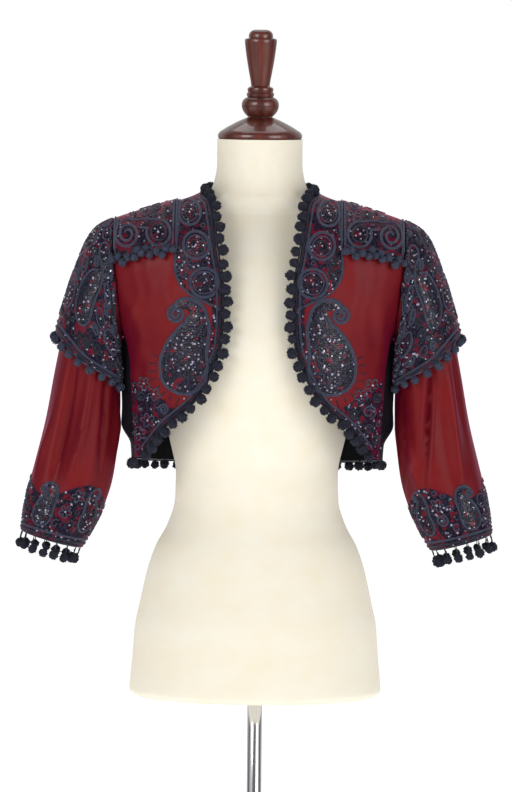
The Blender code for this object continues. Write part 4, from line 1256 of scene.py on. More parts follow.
def make_wall(name, rows, sign, finishes, closed=False):
    """A shell of (inner, outer) pairs; its inner face has the second finish if there is one."""
    shape = Shape(sign)
    down, across = len(rows), len(rows[0])
    inside, outside = [[[shape.point(pair[face]) for pair in row] for row in rows] for face in (0, 1)]
    if len(rows[0][0]) > 2:
        shape.cover = [0.5 + min(max(pair[2] / COVER_FADE, -0.5), 0.5)
                       for row in rows for pair in row] * 2
    middle = [pair[1] for pair in rows[down // 2]]
    over = lengths(middle + ([middle[0]] if closed else []))
    along = lengths([row[across // 2][1] for row in rows])
    steps = across if closed else across - 1
    for i in range(down - 1):
        for j in range(steps):
            corners = quad_corners(over, along, i, j)
            shape.face(quad(outside, i, j), corners)
            a, b, c, d = quad(inside, i, j)
            shape.face((d, c, b, a), corners[::-1], len(finishes) - 1)
    for j in range(steps):
        shape.face(quad([inside[0], outside[0]], 0, j))
        shape.face(quad([outside[-1], inside[-1]], 0, j))
    if not closed:
        for i in range(down - 1):
            shape.face((outside[i][0], outside[i + 1][0], inside[i + 1][0], inside[i][0]))
            shape.face((inside[i][-1], inside[i + 1][-1], outside[i + 1][-1], outside[i][-1]))
    return shape.make(name, finishes)


SECTION = [(-1.0, 0.0), (-0.85, 0.75), (-0.40, 1.0), (0.0, 0.62), (0.40, 1.0), (0.85, 0.75),
           (1.0, 0.0)]
CORD_SECTION = [(-1.0, 0.0), (-0.62, 0.80), (0.0, 1.15), (0.62, 0.80), (1.0, 0.0)]


def sweep(shape, spots, half_width, rise, look, closed=False, section=SECTION, sink=0.0003):
    """Run a braid's section along spots of (point, normal)."""
    points = [spot[0] for spot in spots]
    count = len(points)
    travel = lengths(points + ([points[0]] if closed else []))
    rings = []
    for i, (point, normal) in enumerate(spots):
        before = points[i - 1] if i or closed else point
        after = points[(i + 1) % count] if i < count - 1 or closed else point
        run = after - before
        side = run.cross(normal)
        if side.length < 1e-9:
            side = normal.orthogonal()
        side.normalize()
        taper = 1.0 if closed or 0 < i < count - 1 else 0.6
        rings.append([shape.point(point + side * (across * half_width * taper)
                                  + normal * (up * rise * taper - sink))
                      for across, up in section])
    wide = len(section)
    for i in range(count if closed else count - 1):
        a, b = rings[i], rings[(i + 1) % count]
        low, high = travel[i], travel[i + 1]
        for j in range(wide - 1):
            u, v = j / (wide - 1), (j + 1) / (wide - 1)
            shape.face((a[j], a[j + 1], b[j + 1], b[j]),
                       [(low, u), (low, v), (high, v), (high, u)], look)
        shape.face((a[-1], a[0], b[0], b[-1]), None, look)
    if not closed:
        shape.face(tuple(rings[0]), None, look)
        shape.face(tuple(reversed(rings[-1])), None, look)


def add_bead(shape, point, normal, radius, look, turn=0.0):
    """A cut bead: a six-sided dome that sits on the cloth."""
    side = normal.orthogonal().normalized()
    other = normal.cross(side)
    rings = []
    for reach, up in ((1.0, 0.0), (1.0, 0.35), (0.62, 0.95)):
        spots = [polar(0.0, 0.0, reach * radius, turn + math.pi * k / 3) for k in range(6)]
        rings.append([shape.point(point + side * across + other * along
                                  + normal * (up * radius - 0.0002)) for across, along in spots])
    for a, b in zip(rings, rings[1:]):
        for k in range(6):
            n = (k + 1) % 6
            shape.face((a[k], a[n], b[n], b[k]), None, look)
    shape.face(tuple(rings[-1]), None, look)
    shape.face(tuple(reversed(rings[0])), None, look)


# Motifs, drawn flat in metres and then laid on a panel

def polar(x, y, reach, angle):
    return x + reach * math.cos(angle), y + reach * math.sin(angle)


Stroke = namedtuple("Stroke", "points closed half_width tone")
NAVY_TONE, SLATE_TONE = 0, 1


class Pattern:
    """Braid strokes and beads of one panel, drawn flat."""

    def __init__(self, seed):
        self.rng = random.Random(seed)
        self.strokes, self.beads, self.taken = [], [], []

    def keep_clear(self, x, y, radius):
        self.taken.append((x, y, radius))

    def stroke(self, points, tone=SLATE_TONE, half_width=BRAID, closed=False):
        spaced = [points[0]]
        for point in points[1:]:
            if math.dist(point, spaced[-1]) >= BRAID_STEP * 0.9:
                spaced.append(point)
        if closed and len(spaced) > 2 and math.dist(spaced[0], spaced[-1]) < BRAID_STEP * 0.6:
            spaced.pop()
        if len(spaced) > 2:
            self.strokes.append(Stroke(spaced, closed, half_width, tone))

    def bead(self, x, y, radius=0.0012, look=0):
        self.beads.append((x, y, radius, look))

    def spiral(self, x, y, radius, turns, start=0.0, way=1, tone=SLATE_TONE, half_width=BRAID):
        steps = max(int(turns * 2 * math.pi * radius * 0.6 / MOTIF_STEP), 12)
        shares = [k / steps for k in range(steps + 1)]
        self.stroke([polar(x, y, radius * (1 - 0.86 * t), start + way * 2 * math.pi * turns * t)
                     for t in shares], tone, half_width)
        self.bead(x, y, 0.0013, self.rng.random() < 0.4)

    def ring(self, x, y, radius, tone=NAVY_TONE, half_width=BRAID):
        steps = max(int(2 * math.pi * radius / MOTIF_STEP), 10)
        self.stroke([polar(x, y, radius, 2 * math.pi * k / steps) for k in range(steps)],
                    tone, half_width, True)

    def petals(self, x, y, radius, count, start=0.3):
        """A flower of looped petals round a bead."""
        angles = [2 * math.pi * k / (34 * count) for k in range(34 * count)]
        self.stroke([polar(x, y, radius * (0.30 + 0.70 * abs(math.sin(count * angle / 2)) ** 0.8),
                           angle + start) for angle in angles], SLATE_TONE, FINE_BRAID, True)
        self.bead(x, y, 0.0018, 1)

    def roundel(self, x, y, radius, room=None):
        """Two rings, rays between them and a beaded centre."""
        if room is not None:
            self.keep_clear(x, y, radius + room)
        wide = radius > 0.014
        self.ring(x, y, radius, SLATE_TONE, BRAID * (1.3 if wide else 1.0))
        if wide:
            self.ring(x, y, radius - 0.0046, SLATE_TONE, FINE_BRAID)
        self.ring(x, y, radius * 0.42, NAVY_TONE, FINE_BRAID)
        rays = max(int(radius * 2 * math.pi / 0.0075), 7)
        for k in range(rays):
            angle = 2 * math.pi * k / rays
            self.stroke([polar(x, y, r * radius, angle + 0.25 * r) for r in (0.48, 0.58, 0.68)],
                        NAVY_TONE, FINE_BRAID * 0.8)
            self.bead(*polar(x, y, 0.58 * radius, angle + math.pi / rays), 0.0012, k % 3 == 0)
        for k in range(6):
            self.bead(*polar(x, y, 0.26 * radius, math.pi * k / 3), 0.0012, k == 2)
        self.bead(x, y, 0.0015, 1)

    def paisley(self, x, y, size, curl=1, tilt=0.0):
        """A hooked drop: its outline, a second line inside, sprigs and beads."""
        turn_cos, turn_sin = math.cos(tilt), math.sin(tilt)

        def set_down(across, up):
            across, up = across * size * curl, up * size
            return (x + across * turn_cos - up * turn_sin, y + across * turn_sin + up * turn_cos)
        self.stroke([set_down(*point) for point in paisley_outline(1.0)], SLATE_TONE,
                    BRAID * 1.55 if size > 0.8 else BRAID)
        if size > 0.35:
            self.stroke([set_down(*point) for point in paisley_outline(0.74, True)], NAVY_TONE,
                        FINE_BRAID)
        self.keep_clear(*set_down(*HOOK), 0.0125 * size + 0.0015)
        for spine in PAISLEY:
            self.keep_clear(*set_down(spine.across, spine.up), spine.half_width * size + 0.0015)
        for k in range(11):
            angle = 2 * math.pi * k / 11 + 0.3
            self.stroke([set_down(*polar(0.0, 0.002, r, angle + 18 * r))
                         for r in (0.007, 0.011, 0.015, 0.0185)], k % 2, FINE_BRAID * 0.8)
        for k in range(int(110 * (size * size)) + 8):
            spine = PAISLEY[self.rng.choice((1, 2, 2, 3, 3, 4, 4, 5, 5, 6))]
            share = self.rng.uniform(-0.78, 0.78)
            spot = set_down(spine.across + spine.half_width * share,
                            spine.up + self.rng.uniform(-0.007, 0.007))
            self.bead(*spot, self.rng.uniform(0.0009, 0.0015), self.rng.random() < 0.22)

    def room_for_small(self, x, y, size, way_across, way_up):
        """Keep clear of a small paisley whose solid and ground are laid by the grounds operator."""
        for spine in PAISLEY:
            self.keep_clear(x + way_across * spine.across, y + way_up * spine.up,
                            spine.half_width * size + 0.0015)

    def clear(self, x, y, radius, overlap=0.0):
        return all(math.hypot(x - a, y - b) > radius + r - overlap for a, b, r in self.taken)

    def fill(self, low, high, inside, sizes, bead_tries):
        """Pack scrolls, flowers and roundels of falling size into what is left, then beads."""
        for radius, tries in sizes:
            for _ in range(tries):
                x, y = self.rng.uniform(low[0], high[0]), self.rng.uniform(low[1], high[1])
                if inside(x, y, radius) and self.clear(x, y, radius, 0.0004):
                    self.keep_clear(x, y, radius)
                    self.small_motif(x, y, radius - 0.0012)
        for _ in range(bead_tries):
            x, y = self.rng.uniform(low[0], high[0]), self.rng.uniform(low[1], high[1])
            if inside(x, y, 0.001) and self.clear(x, y, 0.0004):
                self.keep_clear(x, y, 0.0013)
                self.bead(x, y, 0.0013 * self.rng.uniform(0.6, 1.0), self.rng.random() < 0.06)

    def small_motif(self, x, y, radius):
        kind = self.rng.random()
        start = self.rng.uniform(0, 2 * math.pi)
        way = self.rng.choice((-1, 1))
        if radius > 0.0062:
            if kind < 0.55:
                self.spiral(x, y, radius, 1.9, start, way, self.rng.choice((0, 1)), BRAID * 0.9)
            elif kind < 0.8:
                self.petals(x, y, radius, 5, start)
            else:
                self.ring(x, y, radius, SLATE_TONE, FINE_BRAID)
                self.ring(x, y, radius * 0.45, NAVY_TONE, FINE_BRAID)
                self.bead(x, y, 0.0014, self.rng.random() < 0.4)
        elif kind < 0.6:
            self.spiral(x, y, radius, 1.2, start, way, self.rng.choice((0, 1)), FINE_BRAID)
        else:
            self.ring(x, y, radius, self.rng.choice((0, 1)), FINE_BRAID)
            self.bead(x, y, 0.0014, self.rng.random() < 0.3)

    def lay(self, name, place, sign):
        """Sew the strokes and beads onto place(x, y) -> (point, normal)."""
        braid, beads = Shape(sign), Shape(sign)
        for stroke in self.strokes:
            rise = BRAID_RISE * (0.55 + 0.45 * stroke.half_width / BRAID)
            section = SECTION if stroke.half_width > 0.0012 else CORD_SECTION
            sweep(braid, [place(*point) for point in stroke.points], stroke.half_width, rise,
                  stroke.tone, stroke.closed, section)
        for x, y, radius, look in self.beads:
            point, normal = place(x, y)
            add_bead(beads, point + normal * 0.0006, normal, radius, int(look),
                     self.rng.uniform(0, 1))
        hand_over(braid.make("braid_" + name, ["navy_braid", "slate_braid"]))
        hand_over(beads.make("beads_" + name, ["jet", "crystal"]))


def spine_at(k):
    """Across, up and half width of the drop's spine at k, and the direction to its right."""
    across, up, half_width = [read(SPINE_TABLE, "k", label, k) for label in Spine._fields]
    low, high = [[read(SPINE_TABLE, "k", label, near) for label in ("across", "up")]
                 for near in (max(k - 0.2, 0), min(k + 0.2, len(PAISLEY) - 1))]
    run = math.hypot(high[0] - low[0], high[1] - low[1]) or 1.0
    return across, up, half_width, (high[1] - low[1]) / run, -(high[0] - low[0]) / run


def paisley_outline(width, plain=False):
    """Points round the drop from inside its hook, over the top, round the bulb and up again."""
    left, right = [], []
    for n in range(6 * (len(PAISLEY) - 1) + 1):
        across, up, half_width, side_x, side_y = spine_at(n / 6)
        right.append((across + side_x * half_width * width, up + side_y * half_width * width))
        left.append((across - side_x * half_width * width, up - side_y * half_width * width))
    if plain:
        return left[6:42][::-1] + right[6:42]
    hook = [polar(*HOOK, 0.0020 + 0.0095 * (n / 40), math.radians(80 - 680 * (1 - n / 40)))
            for n in range(40)]
    return hook + left[60::-1] + right[:44]


def on_body(side, creases, start=(0.0, 0.0)):
    """Where a pattern's x and z, counted from the start, lie on a front or on the back."""
    def place(x, z):
        x, z = start[0] + x, start[1] + z
        girth = girth_at(x, z)
        return panel_pair(x, girth, side, creases)[1], body_normal(x, girth, side)
    return place


def on_oversleeve(across, up):
    """across is turned into the turn round the arm, up is the distance below the armhole."""
    point, normal = over_frame(min(max(up / OVER_DROP, 0.0), 1.0), across / OVER_RADIUS)
    return point + normal * OVER_THICK, normal


def on_cuff(word):
    def place(across, up):
        return sleeve_surface(10.0 - up / CUFF_STEP, across / CUFF_RADIUS, word)
    return place


def front_pattern(seed):
    pattern = Pattern(seed)
    end = edge_end()
    girths = [0.004 + (end - 0.008) * k / 300 for k in range(301)]
    edge = [(front_edge(girth), height_at(front_edge(girth), girth)) for girth in girths]

    def beside(distance):
        line = []
        for a, b in zip(edge, edge[1:]):
            run = math.dist(a, b) or 1.0
            line.append((a[0] - (b[1] - a[1]) / run * distance,
                         a[1] + (b[0] - a[0]) / run * distance))
        return [p for p in line if p[0] < 0.155 and p[1] > 1.010]
    pattern.stroke(beside(0.0024), NAVY_TONE)
    pattern.stroke(beside(0.0068))
    pattern.taken += [(x, z, 0.0036) for x, z in beside(0.0045)[::2]]
    for k, (x, z) in enumerate(beside(0.0110)[::5]):
        if z < 1.215:
            pattern.bead(x, z, 0.0013, k % 4 == 0)
    heights = [BAND_EDGE[0].z + 0.144 * (k / 200) ** 1.6 for k in range(201)]
    pattern.stroke([(read(BAND_EDGE, "z", "x", z) - 0.0015, z) for z in heights])
    pattern.paisley(*FRONT_DROP, 1.0)
    for x, z, radius in ROUNDELS:
        pattern.roundel(x, z, radius, 0.0035)
    pattern.petals(0.1025, 1.1660, 0.0090, 4, 0.8)
    pattern.keep_clear(0.1025, 1.1660, 0.009)
    for x, z in ((0.1440, 1.1060), (0.1310, 1.0930)):
        pattern.petals(x, z, 0.0085, 5)
        pattern.keep_clear(x, z, 0.0085)
    for k in range(9):
        angle = math.radians(-95 + 15 * k)
        pattern.stroke([polar(*FRONT_DROP, r, angle) for r in (0.036, 0.040, 0.044)], NAVY_TONE,
                       FINE_BRAID)

    def inside(x, z, radius):
        from_edge = x - front_edge(girth_at(x, z))
        if from_edge < radius + 0.008 or z < 1.014 + radius or z > shoulder(x) - 0.004:
            return False
        return front_cover(x, z, from_edge) > radius - 0.001
    pattern.fill((0.045, 1.010), (0.160, 1.360), inside,
                 [(0.0105, 500), (0.0080, 900), (0.0055, 1600), (0.0038, 2200)], 900)
    return pattern


def back_pattern():
    pattern = Pattern(11)
    for sign in (-1, 1):
        pattern.paisley(BACK_DROP[0] * sign, BACK_DROP[1], BACK_DROP_SIZE, sign)
        pattern.petals(0.0260 * sign, 1.1960, 0.0085, 5)
        for x, z, radius in ((0.0480, 1.2990, 0.0145), (0.0850, 1.3160, 0.0115),
                             (0.1210, 1.0310, 0.0130)):
            pattern.roundel(x * sign, z, radius, 0.003)
    pattern.petals(0.0, 1.1700, 0.0110, 6)
    pattern.roundel(0.0, 1.2830, 0.0170, 0.0025)
    bib = []
    for k in range(241):
        angle = math.radians(-88 + 176 * k / 240)
        reach = bib_reach(angle) - 0.02
        bib.append((BIB_X * reach * math.sin(angle),
                    BIB_TOP_Z - BIB_DEPTH * reach * math.cos(angle)))
    pattern.stroke([(x, z) for x, z in bib if z < shoulder(x) - 0.002], half_width=BRAID * 1.2)
    border = [-0.153 + 0.306 * k / 300 for k in range(301)]
    pattern.stroke([(x, back_hem(x) + scallop(x) - 0.0015) for x in border], half_width=BRAID * 1.2)
    edges = ((0.0030, NAVY_TONE), (0.0075, SLATE_TONE))
    for distance, tone in edges:
        hem = [-0.152 + 0.304 * k / 240 for k in range(241)]
        pattern.stroke([(x, back_hem(x) + distance + 0.001) for x in hem], tone)
    for distance, tone in edges:
        neck = [(NECK_X - 0.002) * math.sin(math.radians(-80 + 160 * k / 120)) for k in range(121)]
        pattern.stroke([(x, height_at(x, neck_girth(x) + distance)) for x in neck], tone)

    def inside(x, z, radius):
        girth = girth_at(x, z)
        from_neck = neck_distance(x, girth)
        from_hem = z - hem_z(body_point(x, girth, 1).y)
        if min(from_neck, from_hem) < radius + 0.008 or z > shoulder(x) - 0.003:
            return False
        if z < 1.2 and abs(x) > 0.152 - radius:
            return False
        return back_cover(x, z, from_neck, from_hem) > radius - 0.001
    pattern.fill((-0.155, 0.99), (0.155, 1.34), inside,
                 [(0.0105, 900), (0.0080, 1600), (0.0055, 2600), (0.0038, 3400)], 1500)
    return pattern


def yoke_pattern(seed):
    """A drop whose tail runs over into a spiral as wide as its bulb, on small scrolls."""
    pattern = Pattern(seed)
    bulb, whorl = (0.1270, 1.2955), (0.1665, 1.2925)
    line = [(0.1535, 1.3020), (0.1505, 1.3012), (0.1470, 1.3005)]
    line += [polar(*bulb, 0.0150, math.radians(20 - 5 * k)) for k in range(61)]
    line += [(0.1385, 1.3110), (0.1440, 1.3112), (0.1500, 1.3108), (0.1560, 1.3092)]
    line += [polar(*whorl, 0.0175 - 0.0145 * k / 180, math.radians(112 - 4.6 * k))
             for k in range(181)]
    pattern.stroke(line, half_width=BRAID * 1.2)
    pattern.ring(*bulb, 0.0095)
    for k in range(9):
        pattern.bead(*polar(*bulb, 0.0058, 2 * math.pi * k / 9), 0.0013, k % 2)
    pattern.bead(*bulb, 0.0018, 1)
    pattern.taken += [(*bulb, 0.0170), (*whorl, 0.0190), (0.1470, 1.3060, 0.0060)]
    for x in (YOKE_NECK_X + 0.0018, YOKE_ARM_X - 0.0018):
        low = yoke_reach(x)
        pattern.stroke([(x, height_at(x, low * (1 - 0.99 * k / 30))) for k in range(31)])
    hem = [YOKE_NECK_X + 0.003 + (YOKE_ARM_X - YOKE_NECK_X - 0.006) * k / 140 for k in range(141)]
    pattern.stroke([(x, height_at(x, yoke_reach(x) - 0.0026)) for x in hem])

    def inside(x, z, radius):
        low = height_at(x, yoke_reach(x) - 0.005)
        return (YOKE_NECK_X + radius < x < YOKE_ARM_X - radius and low + radius < z
                and z < shoulder(x) - 0.001)
    pattern.fill((YOKE_NECK_X, 1.26), (YOKE_ARM_X, 1.345), inside,
                 [(0.0080, 500), (0.0055, 800), (0.0036, 1200)], 500)
    return pattern


def on_yoke(side):
    def place(x, z):
        return yoke_outer(x, side * max(girth_at(x, z), 0.0005))
    return place


def oversleeve_pattern(seed):
    pattern = Pattern(seed)
    for way in (-1, 1):
        pattern.room_for_small(way * 0.0736, 0.1056, 0.66, way * -0.60, -0.72)
        pattern.paisley(way * 0.0240, 0.0560, 0.50, -way, math.pi * 0.94)
        pattern.paisley(way * 0.1330, 0.0960, 0.46, way, math.pi * 1.05)
        for x, y, radius in ((0.0330, 0.1180, 0.0135), (0.0660, 0.0300, 0.0130),
                             (0.1080, 0.0450, 0.0120)):
            pattern.roundel(x * way, y, radius, 0.002)
    pattern.spiral(0.0, 0.1130, 0.0150, 2.6, 1.0)
    pattern.keep_clear(0.0, 0.1130, 0.0165)
    reach = OVER_REACH * OVER_RADIUS
    for up, tone in ((OVER_DROP - 0.0030, NAVY_TONE), (OVER_DROP - 0.0078, SLATE_TONE)):
        pattern.stroke([(reach * 0.985 * (2 * k / 300 - 1), up) for k in range(301)], tone)

    def inside(x, y, radius):
        return abs(x) < reach - radius - 0.002 and 0.004 + radius < y < OVER_DROP - 0.011 - radius
    pattern.fill((-reach, 0.0), (reach, OVER_DROP), inside,
                 [(0.0110, 1200), (0.0080, 2600), (0.0055, 4200), (0.0038, 5200)], 3200)
    return pattern


def cuff_pattern(seed):
    pattern = Pattern(seed)
    half = math.pi * CUFF_RADIUS
    for way in (-1, 1):
        pattern.room_for_small(way * 0.0509, 0.0263, 0.44, way * -0.44, 0.44)
        pattern.paisley(way * 0.1130, 0.0280, CUFF_DROP_SIZE, way)
    pattern.roundel(0.0, 0.0250, 0.0125, 0.0015)
    pattern.roundel(0.0, 0.0500, 0.0085, 0.0015)
    for up, tone in ((0.0030, NAVY_TONE), (0.0078, SLATE_TONE)):
        pattern.stroke([(half * (2 * k / 260 - 1), up) for k in range(260)], tone, closed=True)

    def inside(x, y, radius):
        return abs(x) < half - radius * 0.3 and 0.010 + radius < y < cuff_top(x) - radius
    pattern.fill((-half, 0.0), (half, 0.075), inside,
                 [(0.0090, 700), (0.0068, 1200), (0.0050, 1800), (0.0036, 2400)], 1300)
    return pattern


# Pompoms

# Cut wool standing out of each ball; half width and rise of the edge's cord and of a ball's stem
TUFTS, TUFT_ROOT = 56, 0.13
CORD, STEM = (0.0015, 0.0020), (0.0007, 0.0012)


def tuft_ball(seed):
    """Points and faces of one unit pompom: an uneven core with short tufts of cut wool."""
    rng = random.Random(seed)
    core = bmesh.new()
    bmesh.ops.create_icosphere(core, subdivisions=3, radius=1.0)
    points = [vertex.co * rng.uniform(0.68, 1.0) for vertex in core.verts]
    faces = [tuple(vertex.index for vertex in face.verts) for face in core.faces]
    core.free()
    for _ in range(TUFTS):
        way = Vector((rng.gauss(0, 1), rng.gauss(0, 1), rng.gauss(0, 1))).normalized()
        side = way.orthogonal().normalized() * TUFT_ROOT
        other = way.cross(side)
        root = len(points)
        for k in range(3):
            across, along = polar(0.0, 0.0, 1.0, 2 * math.pi * k / 3)
            points.append(way * 0.74 + side * across + other * along)
        points.append(way * rng.uniform(1.0, 1.17) + side * rng.uniform(-0.8, 0.8)
                      + other * rng.uniform(-0.8, 0.8))
        faces += [(root, root + 1, root + 3), (root + 1, root + 2, root + 3),
                  (root + 2, root, root + 3), (root + 2, root + 1, root)]
    return points, faces


def make_pompoms(edge, ending, curve, sign, seed, closed=False):
    """A twisted cord along the edge and one wool ball for each cell of the solid's strip."""
    trim = TRIMS[edge.split("_")[0]]
    spots = even_spots(curve, trim.count, closed)
    rng = random.Random(seed)
    balls = [tuft_ball(n) for n in range(3)]
    shape = Shape(sign)
    size = trim.ball * bpy.context.scene.jacket.pompom_size
    cells = list(zip(spots, spots[1:]))
    if closed:
        cells.append((spots[-1], spots[0]))
    cord = []
    for one, two in cells:
        for part in (0.0, 0.25, 0.5, 0.75):
            point = one.point.lerp(two.point, part) + one.outward.lerp(two.outward, part) * 0.0002
            way = one.outward.lerp(two.outward, part).normalized()
            cord.append((point, way))
    sweep(shape, cord, *CORD, 1, closed, CORD_SECTION, 0.0)
    for index, (one, two) in enumerate(cells):
        middle = (one.point + two.point) / 2
        normal = (one.normal + two.normal).normalized()
        outward = (one.outward + two.outward).normalized()
        along = outward.cross(normal).normalized()
        centre = middle + outward * (STRIP_END + trim.string + POMPOM_REACH) + normal * trim.lift
        centre += along * rng.uniform(-0.0016, 0.0016) + outward * rng.uniform(-0.0014, 0.0006)
        centre += outward * (trim.stagger * (index % 2))
        stem = [middle + outward * 0.0008, (middle + centre) / 2 + normal * 0.0005, centre]
        sweep(shape, [(point, normal) for point in stem], *STEM, 1, False, CORD_SECTION)
        if trim.string:
            add_bead(shape, middle + outward * 0.0065 - normal * 0.0006, normal, 0.0014, 2)
        points, faces = balls[rng.randrange(3)]
        spin = Matrix.Rotation(rng.uniform(0, 6.283), 3,
                               Vector((rng.random(), rng.random(), rng.random() + 0.1)))
        scale = size * rng.uniform(0.88, 1.08)
        root = len(shape.points)
        for point in points:
            shape.point(centre + spin @ point * scale)
        for face in faces:
            shape.face(tuple(root + k for k in face), None, 0)
    piece = shape.make(f"wool_{edge}{ending}", [trim.tone + "_wool", trim.tone + "_braid", "jet"])
    hand_over(piece, f"{edge}_pompoms{ending}")


def make_ground(name, node, place, size, mirror, curl=1, lanes=8):
    """The closely beaded ground of a paisley, slightly crowned over its solid's plate."""
    rows = []
    for n in range(5 * (len(PAISLEY) - 1) + 1):
        across, up, half_width, side_x, side_y = spine_at(n / 5)
        row = []
        for lane in range(-lanes, lanes + 1):
            share = lane / lanes
            point, normal = place((across + side_x * half_width * share) * size * curl,
                                  (up + side_y * half_width * share) * size)
            crown = GROUND_HEIGHT * (0.35 + 0.65 * (1 - share * share))
            row.append((point + normal * GROUND_LIFT, point + normal * (GROUND_LIFT + crown)))
        rows.append(row)
    hand_over(make_wall(name, rows, mirror, ["ground"]), node)


# Turned pieces

def deselect():
    if bpy.context.object and bpy.context.object.mode != "OBJECT":
        bpy.ops.object.mode_set(mode="OBJECT")
    bpy.ops.object.select_all(action="DESELECT")


def turned_piece(name, node, profile, segments, finish):
    """Extrude and scale a disc up a profile, as on a lathe, and close its top."""
    deselect()
    bpy.ops.mesh.primitive_circle_add(vertices=segments, radius=profile[0].radius,
                                      fill_type="NGON", location=(0, 0, profile[0].z))
    piece = bpy.context.object
    bpy.ops.object.mode_set(mode="EDIT")
    bpy.ops.mesh.select_all(action="SELECT")
    for low, high in zip(profile, profile[1:]):
        bpy.ops.mesh.extrude_region_move(
            TRANSFORM_OT_translate={"value": (0, 0, high.z - low.z)})
        scale = high.radius / low.radius
        bpy.ops.transform.resize(value=(scale, scale, 1), center_override=(0, 0, high.z))
    bpy.ops.mesh.select_all(action="SELECT")
    bpy.ops.mesh.remove_doubles(threshold=0.00001)
    bpy.ops.mesh.normals_make_consistent(inside=False)
    bpy.ops.object.mode_set(mode="OBJECT")
    bpy.ops.object.transform_apply(location=True, rotation=True, scale=True)
    bpy.ops.object.shade_smooth_by_angle(angle=math.radians(38))
    piece.name = name
    piece.data.materials.append(finish_named(finish))
    hand_over(piece, node)


RingAt = namedtuple("RingAt", "k z half_width front back")
FORM_TABLE = [RingAt(number, *profile) for number, profile in enumerate(
    FORM + [Profile(shoulder(x) - REST_GAP, x, depth, depth) for x, depth in FORM_SHOULDERS]
    + NECK_RINGS)]


def form_rings():
    turns = [2 * math.pi * j / FORM_AROUND for j in range(FORM_AROUND)]
    rings = []
    for n in range(FORM_STEPS * (len(FORM_TABLE) - 1) + 1):
        z, wide, front, back = [read(FORM_TABLE, "k", label, n / FORM_STEPS)
                                for label in RingAt._fields[1:]]
        rings.append([Vector((wide * math.cos(turn),
                              (front if math.sin(turn) < 0 else back) * math.sin(turn), z))
                      for turn in turns])
    return rings


# Operators

class MakerOperator(bpy.types.Operator):
    """Base of the makers: each works once on the loaded frame."""

    bl_options = {"REGISTER"}


class JACKET_OT_stage(MakerOperator):
    """Set up the camera, the pale floor and the soft studio light."""

    bl_idname = "jacket.stage"
    bl_label = "Stage"

    def execute(self, context):
        camera = bpy.data.objects.new("camera", bpy.data.cameras.new("camera"))
        context.scene.collection.objects.link(camera)
        tilt = math.radians(CAMERA_ELEVATION)
        away = Vector((0, -math.cos(tilt), math.sin(tilt)))
        camera.location = Vector(VIEW_CENTRE) + away * CAMERA_DISTANCE
        facing = away.to_track_quat("Z", "Y").to_matrix().to_4x4()
        roll = Matrix.Rotation(math.radians(CAMERA_ROLL), 4, "Z")
        camera.matrix_world = Matrix.Translation(camera.location) @ facing @ roll
        camera.data.sensor_fit = "VERTICAL"
        camera.data.sensor_height = SENSOR_HEIGHT
        camera.data.lens = SENSOR_HEIGHT * CAMERA_DISTANCE / FRAME_HEIGHT
        camera.data.clip_end = 200.0
        context.scene.camera = camera
        context.scene.view_settings.view_transform = "Standard"
        deselect()
        bpy.ops.mesh.primitive_circle_add(vertices=96, radius=FLOOR_RADIUS, fill_type="NGON",
                                          location=(0, 0, 0))
        floor = context.object
        floor.name = "floor"
        floor.data.materials.append(finish_named("floor"))
        for name, place, size, power in LIGHTS:
            light = bpy.data.lights.new(name, "AREA")
            light.shape = "SQUARE"
            light.size = size
            light.energy = power
            lamp = bpy.data.objects.new(name, light)
            context.scene.collection.objects.link(lamp)
            aim = (Vector(LIGHT_AIM) - Vector(place)).to_track_quat("-Z", "Y")
            lamp.matrix_world = Matrix.Translation(place) @ aim.to_matrix().to_4x4()
        self.light_room(context)
        return {"FINISHED"}

    def light_room(self, context):
        """White to the camera; to the object a bright room with darker upright bands."""
        world = bpy.data.worlds.new("studio")
        world.use_nodes = True
        tree = world.node_tree
        tree.nodes.clear()
        place = tree.nodes.new("ShaderNodeTexCoord").outputs["Generated"]
        split = add_node(tree, "SeparateXYZ", {"Vector": place}).outputs
        ceiling = spread(tree, split[2], 0.0, 0.75, 0.45, 0.80)
        shade = mix(tree, ceiling, upright_bands(tree, split), (0.10, 0.10, 0.10))
        room = add_node(tree, "Background", {"Color": shade, "Strength": ROOM_STRENGTH})
        seen = add_node(tree, "Background", {"Color": (1, 1, 1), "Strength": 1.0})
        path = tree.nodes.new("ShaderNodeLightPath")
        shader = tree.nodes.new("ShaderNodeMixShader")
        for socket, value in zip(shader.inputs, (path.outputs["Is Camera Ray"], room.outputs[0],
                                                 seen.outputs[0])):
            tree.links.new(value, socket)
        add_node(tree, "OutputWorld", {"Surface": shader.outputs[0]})
        context.scene.world = world


class JACKET_OT_dress_form(MakerOperator):
    """Cover the padded torso in cream linen."""

    bl_idname = "jacket.dress_form"
    bl_label = "Dress form"

    def execute(self, context):
        rings = form_rings()
        shape = Shape()
        waist = rings[8 * FORM_STEPS]
        indexes = [[shape.point(point) for point in ring] for ring in rings]
        along = lengths([ring[0] for ring in rings])
        around = lengths(waist + [waist[0]])
        for i in range(len(rings) - 1):
            for j in range(FORM_AROUND):
                shape.face(quad(indexes, i, j), quad_corners(around, along, i, j))
        shape.face(tuple(reversed(indexes[0])))
        shape.face(tuple(indexes[-1]))
        hand_over(shape.make("linen_form", ["linen"]), "dress_form")
        return {"FINISHED"}


